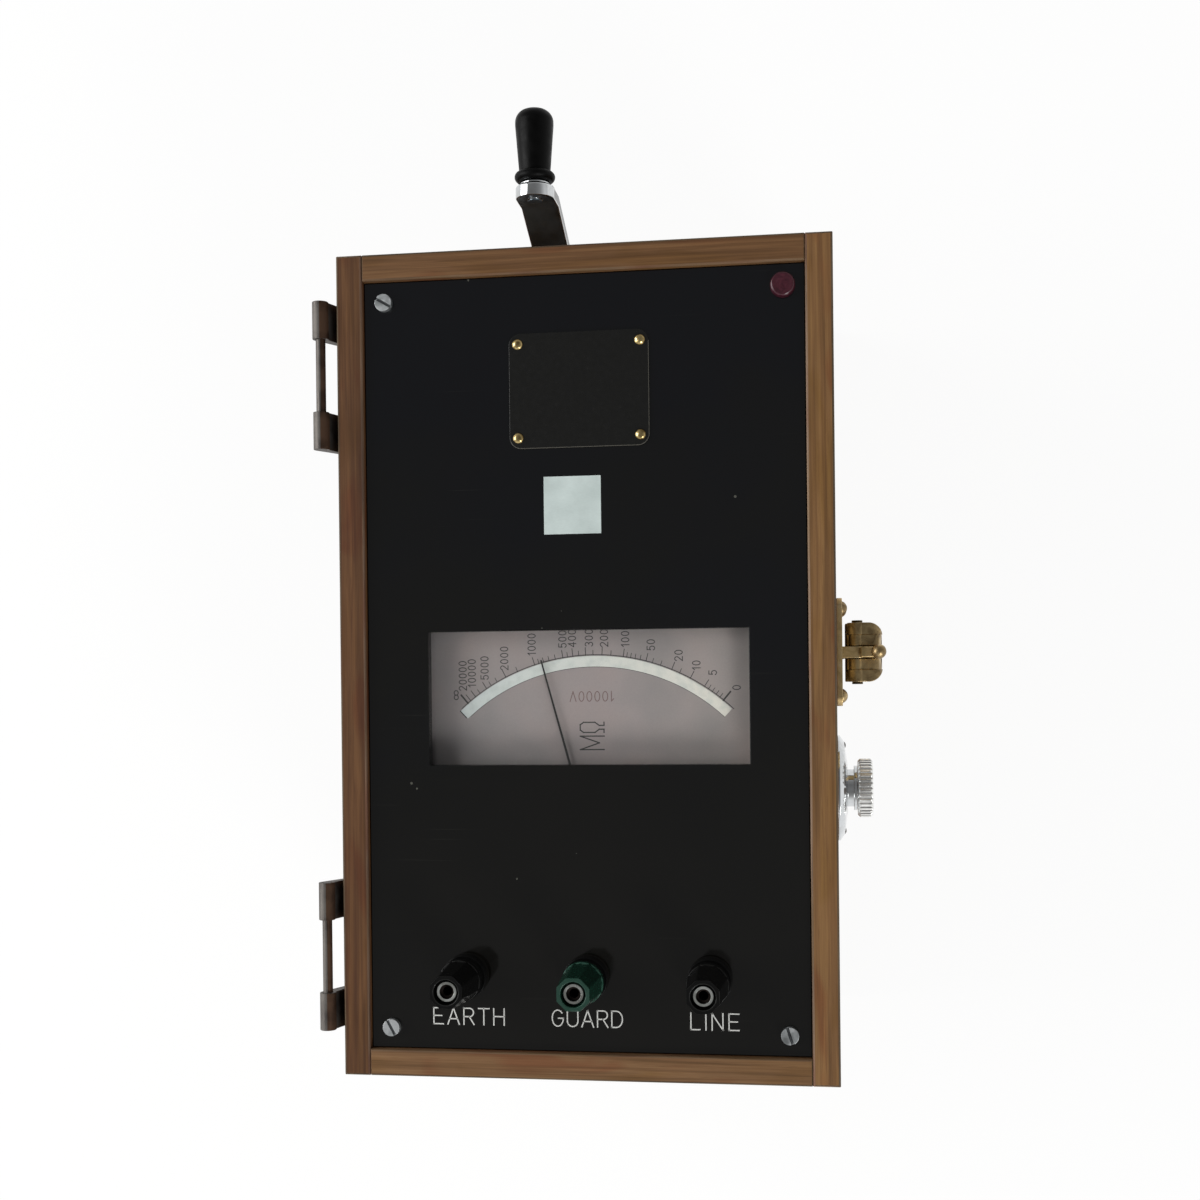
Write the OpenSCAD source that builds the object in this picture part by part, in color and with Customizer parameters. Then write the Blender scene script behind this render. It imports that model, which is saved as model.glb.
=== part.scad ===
// Hand-cranked insulation tester in a hardwood case, lid off.
// X runs from the hinge side to the latch side, Y towards the crank, Z up through the panel.
// The origin is the centre of the case's footprint on the table. Sizes are millimetres.

/* [Case] */
// Width of the case, hinge side to latch side
case_w = 213; // [205:1:240]
// Length of the case, terminal end to crank end
case_l = 355; // [348:1:400]
// Height of the case, table to rim
case_h = 188; // [184:1:215]
// Thickness of the four upright boards
wall_t = 11.5; // [9:0.5:13]
// Thickness of the base board
base_t = 9; // [6:0.5:12]
// Rounding of the upright outer corners
corner_r = 1.5; // [0.5:0.5:3]
// Fingers up each corner joint, both boards together
fingers = 11; // [7:2:15]
// Side of the square corner posts that carry the panel
post_w = 18.6; // [16:0.2:20]

/* [Panel] */
// Depth of the panel's top face below the rim
panel_drop = 3; // [2:0.5:5]
// Thickness of the panel
panel_t = 5; // [4:0.5:8]
// Gap between the panel's edge and the boards
panel_gap = 0.3; // [0.1:0.1:0.6]
// Diameter of a panel screw's shank
panel_screw_d = 4; // [3:0.5:5]
// Diameter of a panel screw's head
screw_head_d = 7.5; // [7:0.1:9]
// Height of a panel screw's head
screw_head_h = 2.6; // [2:0.1:3.5]
// Depth that a panel screw goes below the panel
screw_bite = 16; // [10:1:25]
// Diameter of the wax seal over one screw
seal_d = 10.6; // [10:0.2:13]
// Thickness of the wax over that screw's head
seal_cover = 1; // [0.5:0.1:2]

/* [Name plate and sticker] */
// Width of the blank name plate
plate_w = 60.2; // [50:0.2:70]
// Length of the blank name plate
plate_l = 49.2; // [40:0.2:60]
// Thickness of the name plate
plate_t = 1; // [0.6:0.1:2]
// Corner radius of the name plate
plate_r = 5; // [2:0.5:8]
// Distance of the name plate's middle from the crank end's inner face
plate_inset = 49.6; // [46:0.2:60]
// Diameter of a rivet's shank
rivet_d = 2.2; // [1.6:0.1:3]
// Diameter of a rivet's domed head
rivet_head_d = 4.8; // [4:0.1:6]
// Side of the square sticker
sticker_w = 24.6; // [18:0.2:28]

/* [Meter] */
// Width of the window in the panel
window_w = 138; // [120:1:144]
// Length of the window in the panel
window_l = 57.4; // [48:0.2:60]
// Distance of the window's middle from the terminal end's inner face
window_inset = 151.4; // [148:0.2:156]
// Thickness of the window glass
glass_t = 2; // [1.5:0.1:3]
// Glass hidden behind each edge of the window
glass_lap = 5; // [3:0.5:7]
// Depth of the scale below the glass
scale_drop = 4; // [3.4:0.2:6]
// Thickness of the scale plate
scale_t = 1; // [0.8:0.1:1.6]
// Radius from the pointer's pivot to the outer edge of the mirror strip
scale_r = 86.8; // [84:0.2:88]
// Width of the mirror strip along the scale
mirror_w = 4.6; // [3:0.2:6]
// Angle of the scale each side of the middle
scale_half = 40; // [35:1:42]
// Angle of the pointer at rest, from the middle towards the infinity end
pointer_rest = 15.2; // [0:0.2:30]
// Diameter of the meter's iron core
core_d = 24; // [20:1:28]
// Height of the meter's iron core
core_h = 22; // [18:1:26]
// Gap in which the moving coils swing
coil_gap = 3; // [2.6:0.2:4]
// Diameter of the pointer's spindle
spindle_d = 2; // [1.6:0.2:3]

/* [Terminals] */
// Distance between neighbouring terminals
terminal_pitch = 52.6; // [40:0.2:56]
// Distance of the terminals from the terminal end's inner face
terminal_inset = 31.7; // [29:0.1:40]
// Diameter of the plug socket in each terminal
socket_d = 4; // [3.8:0.1:4.4]
// Depth of the plug socket below its lead-in
socket_depth = 18; // [14:1:20]
// Outer diameter of the terminal post
post_d = 8.2; // [7.4:0.1:9]
// Height of the terminal cap's top above the panel
terminal_h = 36; // [32:0.5:42]
// Diameter across the flats at the foot of the cap
cap_foot_d = 17; // [15.5:0.5:19]
// Diameter across the flats at the top of the cap
cap_top_d = 13.4; // [12.8:0.2:15]
// Diameter of the recess in the top of the cap
cap_recess_d = 10.4; // [9.8:0.1:11]
// Running clearance on the radius of each turning fit
fit = 0.05; // [0.02:0.01:0.08]

/* [Crank] */
// Depth of the crank shaft below the rim
crank_drop = 95; // [92:1:98]
// Space between the table and the crank's eye when it points down
crank_table_gap = 9.5; // [6:0.5:24]
// Distance of the crank shaft from the case's middle, towards the hinges
crank_x = 22; // [16:1:24]
// Diameter of the crank shaft
shaft_d = 10; // [8:0.5:12]
// Width of the crank arm
arm_w = 17; // [15:0.5:19]
// Thickness of the crank arm
arm_t = 5; // [4:0.5:6]
// Outward set of the arm's grip end from its shaft end
arm_set = 20; // [12:1:26]
// Length of the grip
grip_l = 31.6; // [28:0.2:45]
// Largest diameter of the grip
grip_d = 16.8; // [15:0.2:20]
// Diameter of the pin that the grip turns on
grip_pin_d = 6; // [5:0.5:7]

/* [Generator] */
// Tooth size of the gears, pitch diameter over teeth
module_g = 1.1; // [1:0.05:1.15]
// Teeth of the wheel on the crank shaft
wheel_teeth = 72; // [68:1:74]
// Teeth of the wheel on the layshaft
lay_teeth = 54; // [52:1:56]
// Teeth of each pinion
pinion_teeth = 18; // [17:1:19]
// Thickness of the generator's two plates
gen_plate_t = 3; // [2:0.5:4]
// Distance between the two plates
gen_span = 76; // [74:1:82]
// Diameter of the layshaft and the rotor shaft
small_shaft_d = 6; // [5:0.5:7]
// Diameter of the rotor magnet
rotor_d = 34; // [30:1:35]
// Length of the stator stack
stack_l = 32; // [26:1:34]
// Air gap between the rotor and the stator poles
air_gap = 0.6; // [0.4:0.1:1]

/* [Adjuster] */
// Diameter of the adjuster's flange
flange_d = 47.6; // [44:0.2:52]
// Diameter of the adjuster's knob
knob_d = 26.3; // [24:0.1:30]
// Thickness of the adjuster's knob
knob_t = 6.6; // [5:0.2:9]
// Distance of the adjuster from the case's middle, towards the terminals
adjuster_y = 57; // [50:1:64]
// Depth of the adjuster's axis below the rim
adjuster_drop = 58; // [52:1:70]
// Ridges round the knob
ridges = 36; // [24:2:48]

/* [Latch] */
// Distance of the latch's middle from the case's middle, towards the crank
latch_y = 3.4; // [0:0.2:8]
// Length of the latch's base plate
latch_l = 45.4; // [44:0.2:50]
// Thickness of the latch's base plate
latch_t = 2.4; // [2:0.1:3]
// Width of the latch lever
lever_w = 25.2; // [24:0.2:28]
// Width of the latch's middle lug and of its hook
lug_w = 5; // [4:0.2:6]
// Diameter of the lever's pin
lever_pin_d = 3.2; // [2.6:0.1:3.6]
// Diameter of the hook's pin
hook_pin_d = 2.6; // [2:0.1:3]

/* [Hinges] */
// Length of each hinge
hinge_l = 64; // [56:1:70]
// Bare length of each hinge pin
hinge_free = 31.6; // [26:0.2:36]
// Diameter of the hinge pin
hinge_pin_d = 4.2; // [3.6:0.1:4.8]
// Outer diameter of the hinge knuckles
knuckle_d = 7; // [6.6:0.1:8]
// Distance of the pin from the case's side
hinge_out = 7.1; // [6.6:0.1:8]
// Thickness of the hinge leaf
leaf_t = 2; // [1.6:0.1:2.4]
// Distance of each hinge from the nearer end of the case
hinge_inset = 19.6; // [16:0.2:30]

/* [Hidden] */
$fn = 64;

// Case and panel levels
side_x = case_w / 2;
end_y = case_l / 2;
in_x = side_x - wall_t;
in_y = end_y - wall_t;
panel_top = case_h - panel_drop;
panel_bot = panel_top - panel_t;
post_x = in_x - post_w / 2;
post_y = in_y - post_w / 2;
base_screw_d = 4;
base_screw_head_d = 8;
finger_h = case_h / fingers;

// Screw slots on the panel, in degrees, by corner: [left, crank end], [right, terminal end] and so on
slot_turn = [[-30, -62], [0, -72]];
slot_w = 1.1;
slot_depth = 1.2;

// Name plate, rivets and sticker
plate_x = -0.8;
plate_y = in_y - plate_inset;
rivet_inset_x = 3.8;
rivet_inset_y = 4.6;
rivet_dome_h = 1.3;
sticker_gap = 12.1;
sticker_x = -4.2;
sticker_t = 0.2;

// Meter
window_x = 1.1;
window_y = -in_y + window_inset;
glass_bot = panel_bot - glass_t;
scale_top = glass_bot - scale_drop;
scale_bot = scale_top - scale_t;
pivot_x = 3;
pivot_y = window_y + 17.8 - scale_r;
scale_margin = 7;
tongue_w = 74;
tongue_l = 20;
mirror_t = 0.3;
pointer_t = 0.6;
pointer_z = scale_top + mirror_t + 1;
pole_r = core_d / 2 + coil_gap;
coil_wall = 0.8;
coil_clear = 0.6;
coil_cross = 22;
core_arm_w = 4;
core_top = pointer_z - 16;
core_bot = core_top - core_h;
coil_top = core_top + coil_clear + coil_wall;
coil_bot = core_bot - coil_clear - coil_wall;
bridge_gap = 3;
bridge_t = 3;
upper_bridge = coil_top + bridge_gap;
lower_bridge = coil_bot - bridge_gap - bridge_t;
frame_t = 6;
frame_top = lower_bridge;
frame_bot = frame_top - frame_t;
frame_w = 100;
frame_l = 66;
pillar_d = 8;
magnet_w = 12;
pole_w = 30;
outer_pole_x = pole_r + 11;
jewel_d = 5;
scale_post_y = window_y - window_l / 2 - scale_margin - tongue_l + 5;

// Terminals
term_y = -in_y + terminal_inset;
term_x = -0.4;
base_h = 4;
base_d = cap_foot_d + 2;
spigot_d = 10;
shoulder_h = 2;
shoulder_d = 11;
collar_h = 3;
collar_d = 14;
stud_d = 6;
term_nut_af = 12;
term_nut_h = 5;
stud_below = 14;
collar_z = panel_top + base_h + shoulder_h;
cap_z = collar_z + collar_h + 0.2;
cap_top = panel_top + terminal_h;
post_top = cap_top - 1.8;
lead_in_d = 6;
lead_in_h = 2;
cap_recess_h = 5.5;

// Crank, shaft axis parallel to Y
crank_cx = -crank_x;
crank_z = case_h - crank_drop;
crank_r = crank_z - crank_table_gap - arm_w / 2;
bush_d = shaft_d + 8;
bush_flange_d = bush_d + 16;
bush_flange_t = 3;
bush_face = end_y + bush_flange_t;
crank_clear = 0.3;
hub_y = bush_face + crank_clear;
hub_l = 10;
hub_r = arm_w / 2 + 3;
arm_y = hub_y + 2.5;
eye_y = arm_y + arm_set;
grip_z = crank_z + crank_r;
eye_boss_h = 1;
eye_face = eye_y + arm_t + eye_boss_h;
washer_t = 1.2;
grip_y = eye_face + washer_t + crank_clear;
nut_af = 13;
nut_h = 6.5;
shaft_tail_d = 8;
grip_pin_end = grip_y + grip_l - 8;

// Gear train, in the X-Z plane
lay_angle = 62;
rotor_angle = -36;
lay_dist = module_g * (wheel_teeth + pinion_teeth) / 2;
rotor_dist = module_g * (lay_teeth + pinion_teeth) / 2;
lay_x = crank_cx + lay_dist * cos(lay_angle);
lay_z = crank_z + lay_dist * sin(lay_angle);
rotor_x = lay_x + rotor_dist * cos(rotor_angle);
rotor_z = lay_z + rotor_dist * sin(rotor_angle);
front_in = in_y - gen_plate_t;
rear_in = front_in - gen_span;
rear_out = rear_in - gen_plate_t;
wheel_gap = 4;
wheel_t = 6;
pinion_lip = 1;
lay_wheel_t = 5;
wheel_y1 = front_in - wheel_gap;
wheel_y0 = wheel_y1 - wheel_t;
lay_gap = 4;
lay_y1 = wheel_y0 - pinion_lip - lay_gap;
lay_y0 = lay_y1 - lay_wheel_t;
tooth_backlash = 0.14;
pressure_angle = 20;
bush_wall = 3;
bush_lip = 1.5;
coil_over = 4.5;
stack_gap = 10;
stack_y0 = rear_in + stack_gap;
stack_y1 = stack_y0 + stack_l;
pole_face_r = rotor_d / 2 + air_gap;
pole_l = 9;
ring_w = 6;
ring_in_r = pole_face_r + pole_l;
ring_out_r = ring_in_r + ring_w;
stator_pole_w = 12;
coil_bundle = 5;
gen_left_gap = 10.4;
gen_right_gap = 2.5;
gen_foot = 45;
gen_head = 26;
gen_x0 = -in_x + post_w + gen_left_gap;
gen_x1 = in_x - post_w - gen_right_gap;
gen_z0 = crank_z - gen_foot;
gen_z1 = lay_z + gen_head;
gen_pillar_d = 8;
gen_pillar_edge = 2;
standoff_d = 5.6;
wheel_hub_d = shaft_d + 10;
wheel_hub_l = 6;
wheel_hole_d = 14;
wheel_hole_r = 23;
lay_hub_d = small_shaft_d + 8;
lay_hub_l = 4;
// Each shaft's place in the plates: [x, z, diameter]
shaft_places = [[crank_cx, crank_z, shaft_d], [lay_x, lay_z, small_shaft_d],
                [rotor_x, rotor_z, small_shaft_d]];

// Multiplier block on the base board
block_w = 92;
block_l = 64;
block_h = 34;
block_ear = 10;
block_y = 4;

// Adjuster, axis parallel to X
adj_z = case_h - adjuster_drop;
flange_t = 4.6;
flange_lip = 1.2;
adj_collar_d = 20;
adj_collar_l = 4.2;
knob_x0 = side_x + flange_t + adj_collar_l + 0.3;
adj_stem_d = 10;
adj_spindle_d = 6;
control_d = 36;
control_l = 17;
flange_screw_r = flange_d / 2 - 4.6;
flange_screw_d = 2.4;
flange_screw_head_d = 4.2;
flange_screw_seat = 2.4;
knob_depth = 0.7;

// Latch, pins parallel to Y
latch_top = case_h - 6;
latch_h = 34;
pin_a_x = side_x + 8.8;
pin_a_z = case_h - 22;
pin_b_out = 7.2;
pin_b_down = 2;
pin_b_x = pin_a_x + pin_b_out;
pin_b_z = pin_a_z - pin_b_down;
lug_r = 3.6;
cheek_r = 4.3;
hook_r = 3.1;
side_gap = 0.3;
lever_face = pin_a_x + 10.7;
lever_top = pin_a_z + 2;
lever_foot = pin_a_z - 30;
latch_screw_d = 3;
latch_screw_head_d = 6;
latch_screw_in = 4.2;
hook_top = case_h - 4;
ball_d = 6.2;
stem_w = 3.2;
lever_tail_gap = 1.4;
lever_rim = 4.4;
lever_drop = 10;
tail_w = 9;
tail_tip = 1.2;
brace_l = 6;
brace_w = 4;

// Hinges, pins parallel to Y
hinge_x = -side_x - hinge_out;
hinge_z = case_h;
leaf_top = case_h - 16;
leaf_h = 26;
hinge_screw_d = 3.5;
hinge_screw_head_d = 7;

// Prism of an X-Z outline between two values of Y
module xz_prism(y0, y1) {
    translate([0, y1, 0]) rotate([90, 0, 0]) linear_extrude(y1 - y0) children();
}

// Prism of a Y-Z outline between two values of X
module yz_prism(x0, x1) {
    translate([x0, 0, 0]) rotate([90, 0, 90]) linear_extrude(x1 - x0) children();
}

// Round bar along Y
module bar_y(x, z, y0, y1, d) {
    xz_prism(y0, y1) translate([x, z]) circle(d = d);
}

// Round bar along X
module bar_x(y, z, x0, x1, d) {
    yz_prism(x0, x1) translate([y, z]) circle(d = d);
}

// Round bar along Z
module bar_z(x, y, z0, z1, d) {
    translate([x, y, z0]) cylinder(d = d, h = z1 - z0);
}

// Box between two corners
module block(low, high) {
    translate(low) cube(high - low);
}

// Rectangle with round corners about the origin
module round_rect(w, l, r) {
    union() {
        square([w - 2 * r, l], center = true);
        square([w, l - 2 * r], center = true);
        for (x = [-1, 1], y = [-1, 1])
            translate([x * (w / 2 - r), y * (l / 2 - r)]) circle(r = r);
    }
}

// One place at each of the four corners of a rectangle
module at_corners(x, y) {
    for (i = [-1, 1], j = [-1, 1]) translate([i * x, j * y, 0]) children();
}

// Dome on a round foot, by its foot's diameter and its height
module dome(d, h) {
    ball_r = (d * d / 4 + h * h) / (2 * h);
    rotate_extrude()
        intersection() {
            translate([0, h - ball_r]) circle(r = ball_r, $fn = 96);
            square([d, h]);
        }
}

// Comb joint: a board takes every second finger, counted from the rim
module finger_slots(x, y, first) {
    for (i = [first : 2 : fingers - 1])
        translate([x, y, case_h - (i + 1) * finger_h])
            translate([-wall_t / 2, -wall_t / 2, 0]) cube([wall_t, wall_t, finger_h]);
}

module case_outline() {
    linear_extrude(case_h) round_rect(case_w, case_l, corner_r);
}

module side_board(s) {
    x_mid = s * (side_x - wall_t / 2);
    difference() {
        intersection() {
            case_outline();
            translate([x_mid - wall_t / 2, -end_y, 0]) cube([wall_t, case_l, case_h]);
        }
        for (e = [-1, 1]) finger_slots(x_mid, e * (end_y - wall_t / 2), 1);
    }
}

module end_board(s) {
    y_mid = s * (end_y - wall_t / 2);
    difference() {
        intersection() {
            case_outline();
            translate([-side_x, y_mid - wall_t / 2, 0]) cube([case_w, wall_t, case_h]);
        }
        for (e = [-1, 1]) finger_slots(e * (side_x - wall_t / 2), y_mid, 0);
    }
}

// Gear outline with involute flanks, a tooth centred on +X
function involute_turn(r, base_r) =
    let (t = sqrt(max(0, pow(r / base_r, 2) - 1))) t * 180 / PI - atan(t);
function flank_half(r, teeth) =
    let (pitch_r = module_g * teeth / 2,
         base_r = pitch_r * cos(pressure_angle),
         half = 90 / teeth - tooth_backlash / 2 / pitch_r * 180 / PI)
    half + involute_turn(pitch_r, base_r) - involute_turn(max(r, base_r), base_r);
function gear_points(teeth) =
    let (pitch_r = module_g * teeth / 2,
         tip_r = pitch_r + module_g,
         root_r = pitch_r - 1.25 * module_g,
         base_r = max(root_r, pitch_r * cos(pressure_angle)),
         radii = [root_r, base_r + 0.02, pitch_r, tip_r])
    [for (i = [0 : teeth - 1], side = [-1, 1], k = [0 : 3])
        let (r = radii[side < 0 ? k : 3 - k],
             a = 360 * i / teeth + side * flank_half(r, teeth))
        [r * cos(a), r * sin(a)]];
module gear(x, z, y0, y1, teeth, turn) {
    xz_prism(y0, y1) translate([x, z]) rotate(turn) polygon(gear_points(teeth));
}

// Case
module case_side_left() {
    color("#54392c") side_board(-1);
}

module case_side_right() {
    color("#6d5038")
        difference() {
            side_board(1);
            bar_x(-adjuster_y, adj_z, in_x - 1, side_x + 1, adj_stem_d);
        }
}

module case_end_crank() {
    color("#6d5038")
        difference() {
            end_board(1);
            bar_y(crank_cx, crank_z, in_y - 1, end_y + 1, bush_d);
        }
}

module case_end_terminals() {
    color("#6d5038") end_board(-1);
}

module case_bottom() {
    color("#8a6a48")
        difference() {
            block([-in_x, -in_y, 0], [in_x, in_y, base_t]);
            at_corners(post_x, post_y) {
                bar_z(0, 0, -1, base_t + 1, base_screw_d);
                countersink();
            }
        }
}

// Cone under a countersunk head that is flush with the table face
module countersink() {
    translate([0, 0, -0.01])
        cylinder(d1 = base_screw_head_d, d2 = base_screw_d,
                 h = (base_screw_head_d - base_screw_d) / 2 + 0.01);
}

module corner_posts() {
    color("#9a7a55")
        difference() {
            at_corners(post_x, post_y)
                translate([-post_w / 2, -post_w / 2, base_t])
                    cube([post_w, post_w, panel_bot - base_t]);
            at_corners(post_x, post_y) {
                bar_z(0, 0, panel_bot - screw_bite, panel_bot + 1, panel_screw_d);
                bar_z(0, 0, base_t - 1, base_t + screw_bite, base_screw_d);
            }
        }
}

// Slotted screws: four up through the base board, and those of the hinges and the flange
module case_screws() {
    head_h = (base_screw_head_d - base_screw_d) / 2;
    color("silver") {
        at_corners(post_x, post_y)
            difference() {
                union() {
                    cylinder(d1 = base_screw_head_d, d2 = base_screw_d, h = head_h);
                    bar_z(0, 0, head_h / 2, base_t + screw_bite, base_screw_d);
                }
                translate([-base_screw_head_d, -slot_w / 2, -1])
                    cube([2 * base_screw_head_d, slot_w, 1 + head_h / 2]);
            }
        at_hinges()
            hinge_screw_places()
                mirror([1, 0, 0])
                    side_screw(leaf_t, hinge_screw_d, hinge_screw_head_d, 2);
        flange_screw_places()
            side_screw(flange_screw_seat, flange_screw_d, flange_screw_head_d, 1.6);
    }
}

// Slotted round-head screw along +X through a plate on the case's side, without its hidden point
module side_screw(seat, shank_d, head_d, head_h) {
    difference() {
        union() {
            bar_x(0, 0, side_x, side_x + seat + 0.5, shank_d);
            translate([side_x + seat, 0, 0]) rotate([0, 90, 0]) dome(head_d, head_h);
        }
        translate([side_x + seat + head_h * 0.5, -head_d, -0.4])
            cube([head_h, 2 * head_d, 0.8]);
    }
}

// Panel
module front_panel() {
    color("#17181a")
        difference() {
            block([-in_x + panel_gap, -in_y + panel_gap, panel_bot],
                  [in_x - panel_gap, in_y - panel_gap, panel_top]);
            translate([window_x - window_w / 2, window_y - window_l / 2, panel_bot - 1])
                cube([window_w, window_l, panel_t + 2]);
            at_corners(post_x, post_y)
                bar_z(0, 0, panel_bot - 1, panel_top + 1, panel_screw_d);
            for (i = [-1 : 1])
                bar_z(term_x + i * terminal_pitch, term_y, panel_bot - 1, panel_top + 1, spigot_d);
            rivet_places() bar_z(0, 0, panel_bot - 1, panel_top + 1, rivet_d);
        }
}

module panel_screw(turn) {
    difference() {
        union() {
            bar_z(0, 0, panel_top, panel_top + screw_head_h, screw_head_d);
            bar_z(0, 0, panel_bot - screw_bite, panel_top + 0.5, panel_screw_d);
        }
        rotate(turn)
            translate([-screw_head_d, -slot_w / 2, panel_top + screw_head_h - slot_depth])
                cube([2 * screw_head_d, slot_w, slot_depth + 1]);
    }
}

module panel_screws() {
    color("silver")
        for (i = [0, 1], j = [0, 1])
            translate([(2 * i - 1) * post_x, (1 - 2 * j) * post_y, 0])
                panel_screw(slot_turn[i][j]);
}

// Wax run over the screw in the latch side's crank end corner
module wax_seal() {
    wax_h = screw_head_h + seal_cover;
    color("#431a26")
        translate([post_x, post_y, panel_top])
            difference() {
                rotate_extrude()
                    union() {
                        square([seal_d / 2, wax_h - 1.2]);
                        square([seal_d / 2 - 1.2, wax_h]);
                        translate([seal_d / 2 - 1.2, wax_h - 1.2]) circle(r = 1.2);
                    }
                translate([0, 0, -1]) cylinder(d = screw_head_d, h = 1 + screw_head_h);
            }
}

module rivet_places() {
    translate([plate_x, plate_y, 0])
        at_corners(plate_w / 2 - rivet_inset_x, plate_l / 2 - rivet_inset_y) children();
}

module name_plate() {
    color("#1f1f1e")
        difference() {
            translate([plate_x, plate_y, panel_top])
                linear_extrude(plate_t) round_rect(plate_w, plate_l, plate_r);
            rivet_places() bar_z(0, 0, panel_top - 1, panel_top + plate_t + 1, rivet_d);
        }
}

module plate_rivets() {
    color("#b9a26e")
        rivet_places() {
            bar_z(0, 0, panel_bot, panel_top + plate_t + rivet_dome_h / 2, rivet_d);
            translate([0, 0, panel_top + plate_t]) dome(rivet_head_d, rivet_dome_h);
        }
}

module label_sticker() {
    color("#d3dcda")
        translate([sticker_x, plate_y - plate_l / 2 - sticker_gap - sticker_w / 2, panel_top])
            linear_extrude(sticker_t) square(sticker_w, center = true);
}

// Meter
module window_glass() {
    color("#cfe0e0", 0.35)
        translate([window_x, window_y, glass_bot])
            linear_extrude(glass_t)
                square([window_w + 2 * glass_lap, window_l + 2 * glass_lap], center = true);
}

module scale_plate() {
    plate_back = window_y - window_l / 2 - scale_margin;
    color("#8a8583") {
        translate([window_x, window_y, scale_bot])
            linear_extrude(scale_t)
                square([window_w + 2 * scale_margin, window_l + 2 * scale_margin],
                       center = true);
        block([pivot_x - tongue_w / 2, plate_back - tongue_l, scale_bot],
              [pivot_x + tongue_w / 2, plate_back + 1, scale_top]);
    }
}

// Strip of mirror let on to the scale under the pointer's tip
module scale_mirror() {
    color("#d8dcda")
        translate([pivot_x, pivot_y, scale_top])
            linear_extrude(mirror_t)
                intersection() {
                    difference() {
                        circle(r = scale_r, $fn = 128);
                        circle(r = scale_r - mirror_w, $fn = 128);
                    }
                    arc_sector(scale_half + 3, 2 * scale_r);
                }
}

// Triangle that opens towards +Y by an angle each side
module arc_sector(half, reach) {
    polygon([[0, 0], [-reach * sin(half), reach * cos(half)],
             [0, 2 * reach], [reach * sin(half), reach * cos(half)]]);
}

module meter_pillar_places() {
    translate([pivot_x, pivot_y, 0])
        at_corners(frame_w / 2 - pillar_d / 2, frame_l / 2 - pillar_d / 2) children();
}

// Moulded base that hangs from the panel on four pillars and carries the movement
module meter_frame() {
    color("#3a2c22")
        difference() {
            union() {
                translate([pivot_x, pivot_y, frame_bot])
                    linear_extrude(frame_t) round_rect(frame_w, frame_l, pillar_d / 2);
                meter_pillar_places() bar_z(0, 0, frame_bot, panel_bot, pillar_d);
                for (s = [-1, 1])
                    bar_z(pivot_x + s * (tongue_w / 2 - 5), scale_post_y, frame_bot + 1,
                          scale_bot, 6);
                core_arm();
            }
            bar_z(pivot_x, pivot_y, frame_bot - 1, frame_top + 1, jewel_d);
        }
}

// Upright that holds the iron core from the side that the coils don't reach
module core_arm() {
    difference() {
        block([pivot_x - core_arm_w / 2, pivot_y - pole_r - 6, frame_bot + 1],
              [pivot_x + core_arm_w / 2, pivot_y - core_d / 2 + 3, core_bot + core_h / 2]);
        bar_z(pivot_x, pivot_y, core_bot, core_top, core_d);
        bar_z(pivot_x, pivot_y, frame_top, core_bot, 2 * pole_r);
    }
}

// Horseshoe magnet round the pole pieces, open towards the scale
module meter_magnet() {
    outer = pole_r + pole_w / 2 + magnet_w;
    inner = outer - magnet_w;
    color("#6a2f2a")
        translate([pivot_x, pivot_y, core_bot])
            linear_extrude(core_h)
                difference() {
                    union() {
                        square([2 * outer, 2 * magnet_w], center = true);
                        intersection() {
                            circle(r = outer);
                            translate([-outer, -2 * outer]) square([2 * outer, 2 * outer]);
                        }
                    }
                    circle(r = inner);
                    translate([-inner, 0]) square([2 * inner, outer]);
                }
}

module pole_pieces() {
    outer = pole_r + pole_w / 2;
    color("#5c5f61")
        translate([pivot_x, pivot_y, core_bot])
            linear_extrude(core_h)
                for (s = [0, 180])
                    rotate(s)
                        difference() {
                            intersection() {
                                circle(r = outer);
                                translate([0, -magnet_w]) square([outer, 2 * magnet_w]);
                            }
                            circle(r = pole_r);
                        }
}

module meter_core() {
    color("#6e7173")
        difference() {
            bar_z(pivot_x, pivot_y, core_bot, core_top, core_d);
            bar_z(pivot_x, pivot_y, core_bot - 1, core_top + 1, 3 * spindle_d);
        }
}

// Two jewel screws: one in a bridge over the core, one in the moulded base
module jewel_bearings() {
    color("#b08d4a") {
        difference() {
            union() {
                block([pivot_x - outer_pole_x, pivot_y - 4, upper_bridge],
                      [pivot_x + outer_pole_x, pivot_y + 4, upper_bridge + bridge_t]);
                for (s = [-1, 1])
                    bar_z(pivot_x + s * (outer_pole_x - 4), pivot_y, core_top,
                          upper_bridge + 1, 6);
            }
            bar_z(pivot_x, pivot_y, upper_bridge - 1, upper_bridge + bridge_t + 1,
                  spindle_d + 2 * fit);
        }
        difference() {
            bar_z(pivot_x, pivot_y, frame_bot, frame_top, jewel_d);
            bar_z(pivot_x, pivot_y, frame_top - 2, frame_top + 1, spindle_d + 2 * fit);
        }
    }
}

module meter_spindle() {
    color("silver")
        bar_z(pivot_x, pivot_y, frame_top - 1.7, pointer_z + 2, spindle_d);
}

// Two crossed frames of wire that turn in the gap round the core
module moving_coils() {
    coil_r = core_d / 2 + coil_gap / 2 + coil_wall / 2;
    coil_in = coil_r - coil_wall;
    color("#a0522d")
        translate([pivot_x, pivot_y, 0])
            rotate(pointer_rest)
                difference() {
                    union() {
                        for (a = [-coil_cross, coil_cross])
                            rotate(a)
                                difference() {
                                    block([-coil_r, -2.5, coil_bot], [coil_r, 2.5, coil_top]);
                                    block([-coil_in, -3, core_bot - coil_clear],
                                          [coil_in, 3, core_top + coil_clear]);
                                }
                        bar_z(0, 0, core_top + coil_clear, coil_top + 1, spindle_d + 3);
                        bar_z(0, 0, coil_bot - 1, core_bot - coil_clear, spindle_d + 3);
                    }
                    bar_z(0, 0, coil_bot - 2, coil_top + 2, spindle_d);
                }
}

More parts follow.
